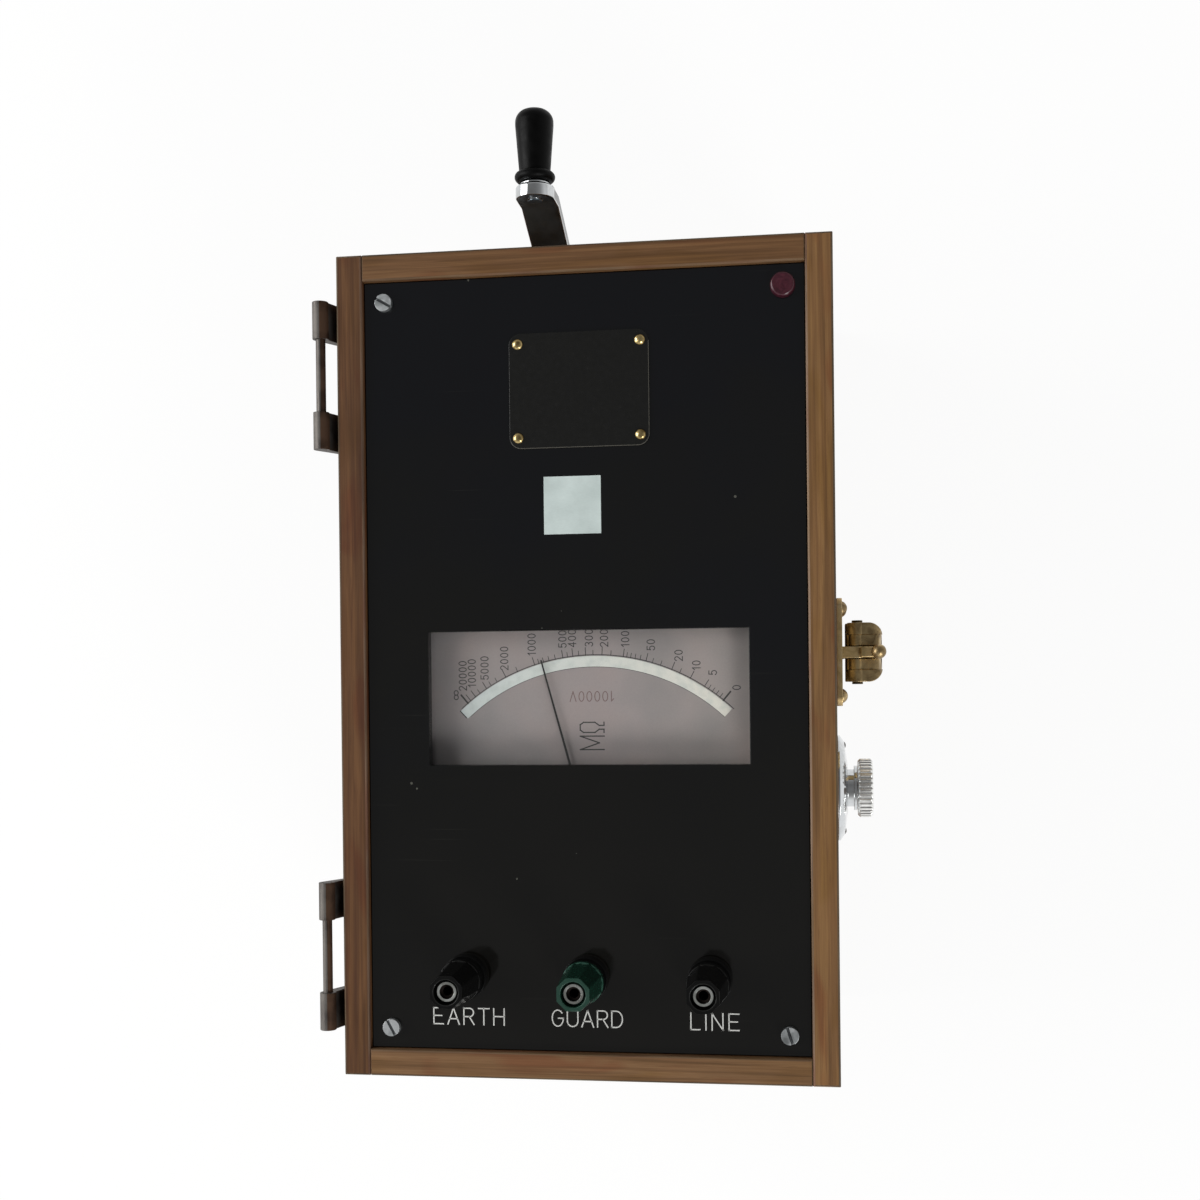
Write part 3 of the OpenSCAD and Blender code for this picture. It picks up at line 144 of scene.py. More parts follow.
def plain_wood(name, shade, dark, along):
    """Bare softwood or plywood, sawn: wide pale bands with fine dark lines."""
    material, tree, coords = bare(name)
    lines = add(tree, "TexNoise", {
        "Vector": add(tree, "Mapping", {"Vector": coords, "Scale": [8.0 if axis == along else 210.0
                                                                    for axis in "xyz"]}),
        "Scale": 1.0, "Detail": 4.0, "Roughness": 0.6, "Distortion": 0.5})
    shaded(tree, {
        "Base Color": add(tree, "ValToRGB", {"Fac": lines}, stops=((0.35, dark), (0.6, shade))),
        "Roughness": 0.72,
        "Normal": add(tree, "Bump", {"Height": lines, "Strength": 0.3, "Distance": 0.1 * MM})})
    return material


def moulded(name, shade, rough, specular, dust, dust_from, peel=0.2):
    """Plastic from a polished mould: glossy, a faint orange peel 4 mm across and specks of dust."""
    material, tree, coords = bare(name)
    ripple = add(tree, "TexNoise", {"Vector": coords, "Scale": 260.0, "Detail": 2.0})
    wear = add(tree, "TexNoise", {"Vector": coords, "Scale": 900.0, "Detail": 4.0,
                                  "Roughness": 0.7})
    share = add(tree, "ValToRGB", {"Fac": wear}, stops=((dust_from, 0.0), (dust_from + 0.06, 1.0)))
    shaded(tree, {
        "Base Color": add(tree, "Mix", {SHARE: share, UNDER: shade, OVER: dust}, MIXED,
                          data_type="RGBA"),
        "Roughness": add(tree, "ValToRGB", {"Fac": ripple},
                         stops=((0.3, rough * 0.8), (0.7, rough * 1.35))),
        "Specular IOR Level": specular,
        "Normal": add(tree, "Bump", {"Height": ripple, "Strength": peel, "Distance": 0.05 * MM})})
    return material


def plated(name, shade, tarnish, rough, scratch, patch_mm=8, along=None):
    """Plated or bare metal: fine scratches, and patches where the surface has gone dull."""
    material, tree, coords = bare(name)
    patches = add(tree, "TexNoise", {"Vector": coords, "Scale": 1000 / patch_mm, "Detail": 4.0,
                                     "Roughness": 0.6})
    lines = [180.0] * 3 if along is None else [60.0 if axis == along else 2600.0 for axis in "xyz"]
    drawn = add(tree, "Mapping", {"Vector": coords, "Scale": lines})
    fine = add(tree, "TexNoise", {"Vector": drawn, "Scale": 1.0, "Detail": 5.0, "Roughness": 0.7})
    both = add(tree, "Math", {0: fine, 1: patches}, operation="ADD")
    shaded(tree, {
        "Base Color": add(tree, "ValToRGB", {"Fac": patches},
                          stops=((0.38, tarnish), (0.56, shade))),
        "Metallic": 1.0,
        "Roughness": add(tree, "ValToRGB", {"Fac": both},
                         stops=((0.75, rough * 0.8), (1.0, min(1.0, rough * 1.25)))),
        "Normal": add(tree, "Bump", {"Height": fine, "Strength": scratch, "Distance": 0.03 * MM})})
    return material


def paper_laminate(name):
    """Black paper laminate, pressed: satin gloss, dust specks 0.6 mm wide, long faint scuffs."""
    material, tree, coords = bare(name)
    cells = add(tree, "TexVoronoi", {"Vector": coords, "Scale": 95.0, "Randomness": 1.0},
                "Distance")
    spot = add(tree, "Math", {0: cells, 1: 0.055}, operation="LESS_THAN")
    sparse = add(tree, "TexNoise", {"Vector": coords, "Scale": 60.0, "Detail": 1.0})
    kept = add(tree, "Math", {0: sparse, 1: 0.56}, operation="GREATER_THAN")
    dust = add(tree, "Math", {0: spot, 1: kept}, operation="MULTIPLY")
    # Painted light: the panel is darker and a little bluish at the crank end, and lighter and
    # browner towards the terminals
    along = add(tree, "SeparateXYZ", {"Vector": coords}, "Y")
    cloud = add(tree, "TexNoise", {"Vector": coords, "Scale": 14.0, "Detail": 3.0})
    painted_light_drift = add(tree, "Math", {0: add(tree, "Math", {0: along, 1: 2.2}, operation="MULTIPLY"),
                               1: cloud}, operation="ADD")
    tone = add(tree, "ValToRGB", {"Fac": painted_light_drift},
               stops=((0.1, "#0c0b09"), (0.42, "#080807"), (0.75, "#05060a")))
    for turn, seed in ((0.5, 1), (-0.9, 5)):
        lines = add(tree, "TexNoise", {
            "Vector": add(tree, "Mapping", {"Vector": coords, "Location": (seed, seed, seed),
                                            "Rotation": (0, 0, turn), "Scale": (8, 900, 8)}),
            "Scale": 1.0, "Detail": 2.0, "Roughness": 0.8})
        scuffs = add(tree, "ValToRGB", {"Fac": lines}, stops=((0.735, 0.0), (0.78, 0.35)))
        tone = add(tree, "Mix", {SHARE: scuffs, UNDER: tone, OVER: "#2e2e2a"}, MIXED,
                   data_type="RGBA")
    tone = add(tree, "Mix", {SHARE: dust, UNDER: tone, OVER: "#4c4c46"}, MIXED, data_type="RGBA")
    smear = add(tree, "TexNoise", {"Vector": coords, "Scale": 30.0, "Detail": 5.0,
                                   "Roughness": 0.65})
    shaded(tree, {
        "Base Color": tone, "Specular IOR Level": 0.5,
        "Roughness": add(tree, "ValToRGB", {"Fac": smear}, stops=((0.3, 0.05), (0.7, 0.12))),
        "Normal": add(tree, "Bump", {"Height": add(tree, "TexNoise", {"Vector": coords,
                                                                      "Scale": 160.0}),
                                     "Strength": 0.06, "Distance": 0.05 * MM})})
    return material


def stove_enamel(name, shade, chipped, rough):
    """Black stove enamel, sprayed and baked: a little warmer and flatter than the panel, worn."""
    material, tree, coords = bare(name)
    wear = add(tree, "TexNoise", {"Vector": coords, "Scale": 420.0, "Detail": 5.0,
                                  "Roughness": 0.7})
    share = add(tree, "ValToRGB", {"Fac": wear}, stops=((0.66, 0.0), (0.8, 0.6)))
    shaded(tree, {
        "Base Color": add(tree, "Mix", {SHARE: share, UNDER: shade, OVER: chipped}, MIXED,
                          data_type="RGBA"),
        "Specular IOR Level": 0.35,
        "Roughness": add(tree, "ValToRGB", {"Fac": wear},
                         stops=((0.3, rough * 0.8), (0.7, rough * 1.3)))})
    return material


def sealing_wax(name):
    """Maroon sealing wax, dripped and pressed: glossy, with streaks and a shallow ripple."""
    material, tree, coords = bare(name)
    swirl = add(tree, "TexNoise", {"Vector": coords, "Scale": 330.0, "Detail": 3.0,
                                   "Distortion": 1.2})
    shaded(tree, {
        "Base Color": add(tree, "ValToRGB", {"Fac": swirl},
                          stops=((0.3, "#310e19"), (0.55, "#3f1722"), (0.75, "#47202a"))),
        "Roughness": 0.24, "Subsurface Weight": 0.06, "Subsurface Radius": (0.002, 0.0006, 0.0006),
        "Normal": add(tree, "Bump", {"Height": swirl, "Strength": 0.22, "Distance": 0.2 * MM})})
    return material


def label_paper(name):
    """Coated label paper, cut: matt and cool white, with fine fibres and slight staining."""
    material, tree, coords = bare(name)
    fibre = add(tree, "TexNoise", {
        "Vector": add(tree, "Mapping", {"Vector": coords, "Scale": (700, 2200, 700)}),
        "Scale": 1.0, "Detail": 3.0})
    cloud = add(tree, "TexNoise", {"Vector": coords, "Scale": 90.0, "Detail": 3.0})
    tone = add(tree, "ValToRGB", {"Fac": cloud}, stops=((0.3, "#b3bfbc"), (0.7, "#c3cfcc")))
    thread = add(tree, "ValToRGB", {"Fac": fibre}, stops=((0.3, 0.5), (0.7, 1.0)))
    shaded(tree, {
        "Base Color": add(tree, "Mix", {SHARE: 0.12, UNDER: tone, OVER: thread}, MIXED,
                          data_type="RGBA", blend_type="MULTIPLY"),
        "Roughness": 0.75,
        "Normal": add(tree, "Bump", {"Height": fibre, "Strength": 0.2, "Distance": 0.03 * MM})})
    return material


def window_pane(name):
    """Drawn sheet glass: clear and flat. Shadow rays pass, so the scale under it is lit."""
    material, tree, _ = bare(name)
    pane = add(tree, "BsdfPrincipled", {"Base Color": "#ffffff", "Roughness": 0.0, "IOR": 1.45,
                                        "Transmission Weight": 1.0})
    clear = add(tree, "BsdfTransparent", {"Color": "#f4f6f5"})
    shadow = add(tree, "LightPath", {}, "Is Shadow Ray")
    add(tree, "OutputMaterial", {"Surface": add(tree, "MixShader", {0: shadow, 1: pane, 2: clear})})
    return material


def scale_paint(name):
    """Silver-grey scale paint, sprayed: matt and a little pink in the middle, with painted shade
    darkening its left end.
    """
    material, tree, coords = bare(name)
    cloud = add(tree, "TexNoise", {"Vector": coords, "Scale": 26.0, "Detail": 2.0})
    fleck = add(tree, "TexNoise", {"Vector": coords, "Scale": 1900.0, "Detail": 2.0})
    across = add(tree, "MapRange", {"Value": add(tree, "SeparateXYZ", {"Vector": coords}, "X"),
                                    "From Min": -0.07, "From Max": 0.076})
    # Painted shade: darker towards the left end, where the window's wall shades the plate
    ends = add(tree, "ValToRGB", {"Fac": across},
               stops=((0.0, "#757170"), (0.2, "#827d7c"), (0.5, "#867f7e"), (0.9, "#89827f")))
    stain = add(tree, "ValToRGB", {"Fac": cloud}, stops=((0.32, "#dcdcdc"), (0.5, "#f4efee"),
                                                         (0.68, "#fff2ee")))
    tone = add(tree, "Mix", {SHARE: 0.8, UNDER: ends, OVER: stain}, MIXED, data_type="RGBA",
               blend_type="MULTIPLY")
    grit = add(tree, "ValToRGB", {"Fac": fleck}, stops=((0.3, 0.6), (0.7, 1.0)))
    shaded(tree, {
        "Base Color": add(tree, "Mix", {SHARE: 0.16, UNDER: tone, OVER: grit}, MIXED,
                          data_type="RGBA", blend_type="MULTIPLY"),
        "Roughness": 0.6,
        "Normal": add(tree, "Bump", {"Height": fleck, "Strength": 0.1, "Distance": 0.02 * MM})})
    return material


def printed(name, shade, ground):
    """Printing ink, or paint run into a cut: matt, and a little thin in places."""
    material, tree, coords = bare(name)
    thin = add(tree, "TexNoise", {"Vector": coords, "Scale": 1500.0, "Detail": 3.0,
                                  "Roughness": 0.6})
    share = add(tree, "ValToRGB", {"Fac": thin}, stops=((0.55, 0.0), (0.8, 0.35)))
    shaded(tree, {
        "Base Color": add(tree, "Mix", {SHARE: share, UNDER: shade, OVER: ground}, MIXED,
                          data_type="RGBA"),
        "Roughness": 0.55})
    return material


def silvered(name):
    """Bright strip under the pointer, rolled and lacquered: pale, with faint spots."""
    material, tree, coords = bare(name)
    spots = add(tree, "TexNoise", {"Vector": coords, "Scale": 240.0, "Detail": 4.0})
    dull = add(tree, "ValToRGB", {"Fac": spots}, stops=((0.3, 0.5), (0.55, 0.0)))
    across = add(tree, "MapRange", {"Value": add(tree, "SeparateXYZ", {"Vector": coords}, "X"),
                                    "From Min": -0.07, "From Max": 0.076})
    tone = add(tree, "ValToRGB", {"Fac": across}, stops=((0.1, "#b7bebc"), (0.9, "#c7c3b9")))
    shaded(tree, {
        "Base Color": add(tree, "Mix", {SHARE: dull, UNDER: tone, OVER: "#a2a8a5"}, MIXED,
                          data_type="RGBA"),
        "Roughness": 0.16, "Coat Weight": 1.0, "Coat IOR": 1.7})
    return material


def coil_wire(name):
    """Enamelled copper wire, wound side by side: 1.3 mm wide ribs stand for 0.4 mm wire."""
    material, tree, coords = bare(name)
    ribs = add(tree, "TexWave", {"Vector": coords, "Scale": 780.0, "Distortion": 0.3}, "Fac",
               bands_direction="Y")
    shaded(tree, {
        "Base Color": add(tree, "ValToRGB", {"Fac": ribs},
                          stops=((0.1, "#5c2a10"), (0.7, "#b0622f"))),
        "Roughness": 0.3, "Coat Weight": 0.6,
        "Normal": add(tree, "Bump", {"Height": ribs, "Strength": 0.7, "Distance": 0.2 * MM})})
    return material


def cast_brass(name, low, mid, high):
    """Sand-cast brass, handled for years: brown in the hollows, brighter on the proud parts."""
    material, tree, coords = bare(name)
    patches = add(tree, "TexNoise", {"Vector": coords, "Scale": 190.0, "Detail": 5.0,
                                     "Roughness": 0.62, "Distortion": 0.6})
    pits = add(tree, "TexNoise", {"Vector": coords, "Scale": 1300.0, "Detail": 3.0})
    shaded(tree, {
        "Base Color": add(tree, "ValToRGB", {"Fac": patches},
                          stops=((0.32, low), (0.5, mid), (0.68, high))),
        "Metallic": 1.0,
        "Roughness": add(tree, "ValToRGB", {"Fac": patches}, stops=((0.3, 0.5), (0.7, 0.32))),
        "Normal": add(tree, "Bump", {"Height": add(tree, "Math", {0: patches, 1: pits},
                                                   operation="ADD"),
                                     "Strength": 0.3, "Distance": 0.06 * MM})})
    return material


# Wood. The hinge side and the crank end are darker. The rims' rounds are rubbed and painted with a
# highlight inside, and soiled and painted with shade outside
TEAK_DARK = oiled_teak("oiled_teak_dark", "y", "#452a19", "#583a22", "#69492d", 2)
TEAK_SIDE = oiled_teak("oiled_teak_side", "y", "#5e4227", "#745434", "#86653f", 5)
TEAK_END = oiled_teak("oiled_teak_end", "x", "#5a4026", "#705236", "#816244", 9)
TEAK_FAR = oiled_teak("oiled_teak_far", "x", "#53381f", "#66482d", "#775739", 11)
RUBBED_LIT_DARK = oiled_teak("rubbed_lit_teak_dark", "y", "#43302a", "#66503f", "#7a6351", 3)
RUBBED_LIT_SIDE = oiled_teak("rubbed_lit_teak_side", "y", "#54402f", "#816a57", "#97806c", 6)
RUBBED_LIT_END = oiled_teak("rubbed_lit_teak_end", "x", "#463422", "#67503a", "#7b634b", 7)
SOILED_SHADED_SIDE = oiled_teak("soiled_shaded_teak_side", "y", "#3a2d1e", "#574735", "#6d5d47", 4)
SOILED_SHADED_END = oiled_teak("soiled_shaded_teak_end", "x", "#3a2d1e", "#51412e", "#65543d", 8)
PLYWOOD = plain_wood("plywood", "#8e7150", "#6f5437", "x")
SOFTWOOD = plain_wood("softwood", "#a3835c", "#80623f", "z")
# Panel and what lies on it
LAMINATE = paper_laminate("black_paper_laminate")
ENAMEL = stove_enamel("black_enamel", "#131312", "#2a2927", 0.24)
ENAMEL_EDGE_HIGHLIGHT = stove_enamel("enamel_edge_painted_highlight", "#4a4842", "#6d6a62", 0.4)
WAX = sealing_wax("sealing_wax")
PAPER = label_paper("label_paper")
GLASS = window_pane("window_glass")
SCALE_PAINT = scale_paint("scale_paint")
SILVERED = silvered("silver_strip")
INK = printed("black_ink", "#0b0a0a", "#4c4946")
RED_INK = printed("red_ink", "#5a4342", "#746a68")
ENGRAVING = printed("engraving_white", "#c4c4c0", "#807e7a")
# Plastics: phenolic is very dark and takes a broad soft gleam. The caps' edge copies are lighter,
# partly worn grey with handling and partly painted highlight
POINTER_BLACK = moulded("pointer_lacquer", "#0c0c0c", 0.4, 0.4, "#3c3a36", 0.74)
BLACK_MOULDING = moulded("black_phenolic", "#080808", 0.2, 0.25, "#3c3a36", 0.74)
BLACK_WEAR_AND_HIGHLIGHT = moulded("black_phenolic_wear_and_highlight", "#191918", 0.35, 0.25, "#6c6860", 0.72)
BROWN_MOULDING = moulded("brown_phenolic", "#3a2c22", 0.3, 0.4, "#57544e", 0.74)
GREEN_MOULDING = moulded("green_moulding", "#08291e", 0.22, 0.3, "#214f3e", 0.76)
GREEN_WEAR_AND_HIGHLIGHT = moulded("green_moulding_wear_and_highlight", "#2f5648", 0.3, 0.5, "#6a9c86", 0.68)
GREEN_TOP_HIGHLIGHT = moulded("green_moulding_painted_highlight", "#1d392f", 0.3, 0.4, "#3c6a58", 0.7)
GRIP_BLACK = moulded("grip_phenolic", "#050505", 0.38, 0.08, "#141414", 0.74)
RED_LACQUER = moulded("red_lacquer", "#6a2f2a", 0.35, 0.5, "#57544e", 0.74, 0.5)
RESIN = moulded("cast_resin", "#2b2b30", 0.3, 0.5, "#57544e", 0.74, 0.5)
# Metals: chrome mirrors the room, nickel and zinc are satin, brass is brown where it isn't handled
CHROME = plated("bright_chrome", "#d2d5d7", "#c2c4c4", 0.06, 0.015)
DULL_CHROME = plated("dulled_chrome", "#76858f", "#616e77", 0.42, 0.04, 22)
SIDE_SHADE_CHROME = plated("chrome_painted_side_shade", "#8f9090", "#7a7a79", 0.3, 0.03)
KNOB_CHROME = plated("ribbed_chrome", "#f4f4f2", "#e4e4e2", 0.2, 0.015)
NICKEL_BRASS = plated("nickelled_brass", "#d6d9d5", "#b5b7b1", 0.28, 0.12)
TARNISH_AND_SHADE_SOCKET = plated("socket_tarnish_and_shade", "#3a3330", "#221e1c", 0.5, 0.3)
ZINC = plated("zinc_plate", "#b4b7b8", "#979b9c", 0.42, 0.15)
SLOT_DIRT_AND_SHADE = plated("zinc_slot_dirt_and_shade", "#747779", "#4c4e50", 0.6, 0.3)
NICKEL = plated("satin_nickel", "#6b6763", "#575350", 0.5, 0.15, 14, "y")
NICKEL_WOOD_REFLECTION = plated("nickel_painted_wood_reflection", "#5a4639", "#3e3028", 0.6, 0.15, 14, "y")
AGED_BRASS = cast_brass("aged_cast_brass", "#6a593e", "#998460", "#bfa87c")
LUG_BRASS = cast_brass("rubbed_cast_brass", "#a08a60", "#c4ab7c", "#d8c297")
DARK_BRASS = cast_brass("oxidised_brass", "#3a3122", "#54472f", "#6e6044")
RIVET_BRASS = plated("bright_brass", "#c9b27c", "#75613a", 0.2, 0.25, 5)
TURNED_BRASS = plated("turned_brass", "#b8944e", "#957638", 0.3, 0.3)
STEEL = plated("ground_steel", "#9a9da0", "#7d8083", 0.3, 0.3)
SOFT_IRON = plated("soft_iron", "#6c7073", "#4e4a46", 0.45, 0.3)
MAGNET_ALLOY = plated("magnet_alloy", "#585c5f", "#3f4244", 0.4, 0.3)
ENAMELLED_WIRE = coil_wire("enamelled_wire")

# Finish of every node of the frame; pieces made below replace some of them
NODE_FINISH = {
    "case_side_left": TEAK_DARK, "case_side_right": TEAK_SIDE, "case_end_crank": TEAK_FAR,
    "case_end_terminals": TEAK_END, "case_bottom": PLYWOOD, "corner_posts": SOFTWOOD,
    "case_screws": NICKEL, "front_panel": LAMINATE, "panel_screws": ZINC, "wax_seal": WAX,
    "name_plate": ENAMEL, "plate_rivets": RIVET_BRASS, "label_sticker": PAPER,
    "window_glass": GLASS, "scale_plate": SCALE_PAINT, "scale_mirror": SILVERED,
    "meter_frame": BROWN_MOULDING, "meter_magnet": RED_LACQUER, "pole_pieces": SOFT_IRON,
    "meter_core": SOFT_IRON, "jewel_bearings": TURNED_BRASS, "meter_spindle": STEEL,
    "moving_coils": ENAMELLED_WIRE, "pointer": POINTER_BLACK, "terminal_bases": BLACK_MOULDING,
    "terminal_posts": NICKEL_BRASS, "terminal_nuts": TURNED_BRASS, "earth_collar": NICKEL_BRASS,
    "guard_collar": NICKEL_BRASS, "line_collar": NICKEL_BRASS, "earth_cap": BLACK_MOULDING,
    "guard_cap": GREEN_MOULDING, "line_cap": BLACK_MOULDING, "crank_bush": NICKEL,
    "crank_shaft": STEEL, "crank_arm": CHROME, "crank_nut": ZINC, "crank_gear": TURNED_BRASS,
    "grip_spindle": CHROME, "crank_grip": GRIP_BLACK, "lay_shaft": STEEL,
    "lay_wheel": TURNED_BRASS, "rotor_shaft": STEEL, "rotor_magnet": MAGNET_ALLOY,
    "gear_plates": STEEL, "plate_pillars": STEEL, "shaft_bushes": TURNED_BRASS,
    "stator_core": SOFT_IRON, "stator_coils": ENAMELLED_WIRE, "multiplier_block": RESIN,
    "adjuster_flange": CHROME, "adjuster_knob": KNOB_CHROME, "adjuster_control": BROWN_MOULDING,
    "latch_base": LUG_BRASS, "latch_screws": AGED_BRASS, "latch_lever": AGED_BRASS,
    "latch_pins": DARK_BRASS, "latch_hook": LUG_BRASS, "hinge_leaves": NICKEL,
    "hinge_pins": NICKEL,
}
for node_name, material in NODE_FINISH.items():
    mesh = nodes[node_name].data
    mesh.materials.clear()
    mesh.materials.append(material)


# Mesh helpers

def piece(name, bm, body, materials, replaces=(), crease=32):
    """Turns a bmesh into a piece that rides on its body and takes the place of CAD nodes."""
    bmesh.ops.recalc_face_normals(bm, faces=bm.faces)
    for face in bm.faces:
        face.smooth = True
    for edge in bm.edges:
        edge.smooth = edge.calc_face_angle(0.0) < math.radians(crease)
    mesh = bpy.data.meshes.new(name)
    bm.to_mesh(mesh)
    bm.free()
    for material in materials:
        mesh.materials.append(material)
    made = bpy.data.objects.new(name, mesh)
    bpy.context.scene.collection.objects.link(made)
    weighted = made.modifiers.new("weighted_normals", "WEIGHTED_NORMAL")
    weighted.keep_sharp = True
    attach(made, body)
    if replaces:
        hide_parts(*replaces)


def merged(node_name):
    """A clean copy of a node's mesh: doubles merged, flat triangles joined to whole faces."""
    bm = bmesh.new()
    bm.from_mesh(nodes[node_name].data)
    bmesh.ops.remove_doubles(bm, verts=bm.verts, dist=0.002 * MM)
    bmesh.ops.dissolve_limit(bm, angle_limit=math.radians(0.5), verts=bm.verts, edges=bm.edges)
    return bm


def ease(bm, width_mm, angle=32, segments=2, where=None, worn=None):
    """Rounds the edges sharper than an angle. Worn is a material slot for the new strips, which
    some pieces use for wear and some for a painted highlight.
    """
    sharp = [edge for edge in bm.edges
             if len(edge.link_faces) == 2 and edge.calc_face_angle(0.0) > math.radians(angle)
             and (where is None or where(edge))]
    made = bmesh.ops.bevel(bm, geom=sharp, offset=width_mm * MM, offset_type="OFFSET",
                           affect="EDGES", segments=segments, profile=0.5, material=-1)
    if worn is not None:
        for face in made["faces"]:
            face.material_index = worn
    return bm


def shade_where(bm, index, test):
    """Gives a material slot to the faces whose middle, in mm, passes a test."""
    for face in bm.faces:
        if test(face.calc_center_median() / MM):
            face.material_index = index


def eased(node_name, width_mm, body, angle=32, segments=2, where=None):
    """A CAD node's own form with its edges eased, standing for the node."""
    bm = ease(merged(node_name), width_mm, angle, segments, where)
    piece(node_name + "_eased", bm, body, [NODE_FINISH[node_name]],
          [node_name])


def spun(profile, place_at, steps):
    """A closed turned form: a profile of (radius, height) in mm about an upright axis."""
    bm = bmesh.new()
    verts = [bm.verts.new(Vector((r, 0, h)) * MM) for r, h in profile]
    edges = [bm.edges.new(pair) for pair in zip(verts, verts[1:])]
    bmesh.ops.spin(bm, geom=verts + edges, cent=(0, 0, 0), axis=Z, angle=math.tau, steps=steps,
                   use_merge=True)
    bmesh.ops.remove_doubles(bm, verts=bm.verts, dist=0.001 * MM)
    bmesh.ops.translate(bm, verts=bm.verts, vec=Vector(place_at) * MM)
    return bm


def joined(parts):
    """Several bmeshes as one."""
    whole = bmesh.new()
    for part in parts:
        scrap = bpy.data.meshes.new("scrap")
        part.to_mesh(scrap)
        part.free()
        whole.from_mesh(scrap)
        bpy.data.meshes.remove(scrap)
    return whole


# Case: comb-jointed boards with rounded rims

CASE_W, CASE_L, CASE_H, BOARD_T = 213.0, 355.0, 188.0, 11.5
FINGERS, RIM_R = 11, 0.9


def board(node_name, along, outer, half, runs_through, rubbed, soiled):
    """A board cut with fingers at both ends.

    Outer is the place of its outside face, and half is half of its length inside the case. The
    rim's round is rubbed and painted with a highlight on the side of the panel, and soiled and
    painted with shade on the outside.
    """
    across = Y if along is X else X
    pitch = CASE_H / FINGERS
    reach = [half + (BOARD_T if (i % 2 == 0) == runs_through else 0) for i in range(FINGERS)]
    right = [(reach[i], (i + k) * pitch) for i in range(FINGERS) for k in (0, 1)]
    outline = right + [(-u, z) for u, z in reversed(right)]
    bm = bmesh.new()
    face = bm.faces.new([bm.verts.new((along * u + Z * z + across * outer) * MM)
                         for u, z in outline])
    made = bmesh.ops.extrude_face_region(bm, geom=[face])
    inward = across * (-BOARD_T * MM if outer > 0 else BOARD_T * MM)
    bmesh.ops.translate(bm, verts=[v for v in made["geom"] if isinstance(v, bmesh.types.BMVert)],
                        vec=inward)
    bmesh.ops.recalc_face_normals(bm, faces=bm.faces)
    ease(bm, RIM_R, 40, 3, lambda e: min(v.co.z for v in e.verts) > (CASE_H - 0.1) * MM)
    ease(bm, 0.3, 40, 1)
    middle = abs(outer) - BOARD_T / 2

    def on_rim(c):
        return CASE_H - RIM_R < c.z < CASE_H - 0.02

    # Painted highlight with rubbing on the rim's round inside, painted shade with soil outside
    shade_where(bm, 1, lambda c: on_rim(c) and abs(across.dot(c)) < middle)
    shade_where(bm, 2, lambda c: on_rim(c) and abs(across.dot(c)) > middle)
    piece(node_name + "_eased", bm, "case", [NODE_FINISH[node_name], rubbed, soiled],
          [node_name])


# Half the length of the long and of the short boards between the corners
SIDE_HALF, END_HALF = CASE_L / 2 - BOARD_T, CASE_W / 2 - BOARD_T
board("case_side_left", Y, -CASE_W / 2, SIDE_HALF, True, RUBBED_LIT_DARK, SOILED_SHADED_SIDE)
board("case_side_right", Y, CASE_W / 2, SIDE_HALF, True, RUBBED_LIT_SIDE, SOILED_SHADED_SIDE)
board("case_end_crank", X, CASE_L / 2, END_HALF, False, RUBBED_LIT_END, SOILED_SHADED_END)
board("case_end_terminals", X, -CASE_L / 2, END_HALF, False, RUBBED_LIT_END, SOILED_SHADED_END)
eased("case_bottom", 0.3, "case", 40, 1)

# Panel and what is fixed to it
PANEL_TOP, PLATE_TOP = 185.0, 186.0
SCREW_X, SCREW_Y, SLOT_END = 85.7, 156.7, 3.4
PLATE_X, PLATE_Y, RIVET_X, RIVET_Y = -0.8, 116.4, 26.3, 20.0
eased("front_panel", 0.35, "case", 40, 2,
      lambda e: e.calc_length() > 3 * MM and min(v.co.z for v in e.verts) > (PANEL_TOP - 0.1) * MM)
# Painted highlight: the plate's edge is painted light grey towards the terminals and on part of the
# latch side
plate = ease(merged("name_plate"), 0.3, 40, 2, None, 1)
shade_where(plate, 0, lambda c: c.y > PLATE_Y - 21 and (c.x < PLATE_X + 27 or c.y > PLATE_Y + 4))
piece("name_plate_eased", plate, "case", [ENAMEL, ENAMEL_EDGE_HIGHLIGHT],
      ["name_plate"])
eased("case_screws", 0.1, "case", 40, 1)
# The slots of the panel screws are dark: dirt, and painted shade in the recess
screws = ease(merged("panel_screws"), 0.25, 40)
shade_where(screws, 1, lambda c: PANEL_TOP + 1.2 < c.z < PANEL_TOP + 2.3
            and math.hypot(abs(c.x) - SCREW_X, abs(c.y) - SCREW_Y) < SLOT_END)
piece("panel_screws_eased", screws, "case", [ZINC, SLOT_DIRT_AND_SHADE],
      ["panel_screws"])

# Rivet heads, a little uneven from the hammer. The seed gives the same forms in each run
noise.seed_set(5)
rivets = []
for i, (sx, sy) in enumerate(((-1, -1), (1, -1), (-1, 1), (1, 1))):
    at = (PLATE_X + sx * RIVET_X, PLATE_Y + sy * RIVET_Y, PLATE_TOP)
    dome = spun([(0, 1.25), (0.8, 1.18), (1.5, 0.96), (2.0, 0.6), (2.3, 0.2), (2.35, 0.0), (0, 0)],
                at, 20)
    for vert in dome.verts:
        if vert.co.z > (PLATE_TOP + 0.5) * MM:
            vert.co += noise.noise_vector(vert.co * 900 + Vector((i * 7, 0, 0))) * 0.14 * MM
    rivets.append(dome)
piece("rivet_heads", joined(rivets), "case", [RIVET_BRASS], ["plate_rivets"])

# Wax over the screw of one corner, pressed hollow
seal = spun([(0, 3.05), (2.4, 3.1), (3.5, 3.2), (4.2, 3.4), (4.6, 3.3), (4.95, 2.9), (5.15, 2.2),
             (5.2, 1.2), (5.2, 0.25), (5.25, 0.0), (0, 0)], (SCREW_X, SCREW_Y, PANEL_TOP), 48)
for vert in seal.verts:
    if vert.co.z > (PANEL_TOP + 0.2) * MM:
        vert.co += noise.noise_vector(vert.co * 380) * 0.08 * MM
piece("wax_cup", seal, "case", [WAX], ["wax_seal"], 60)


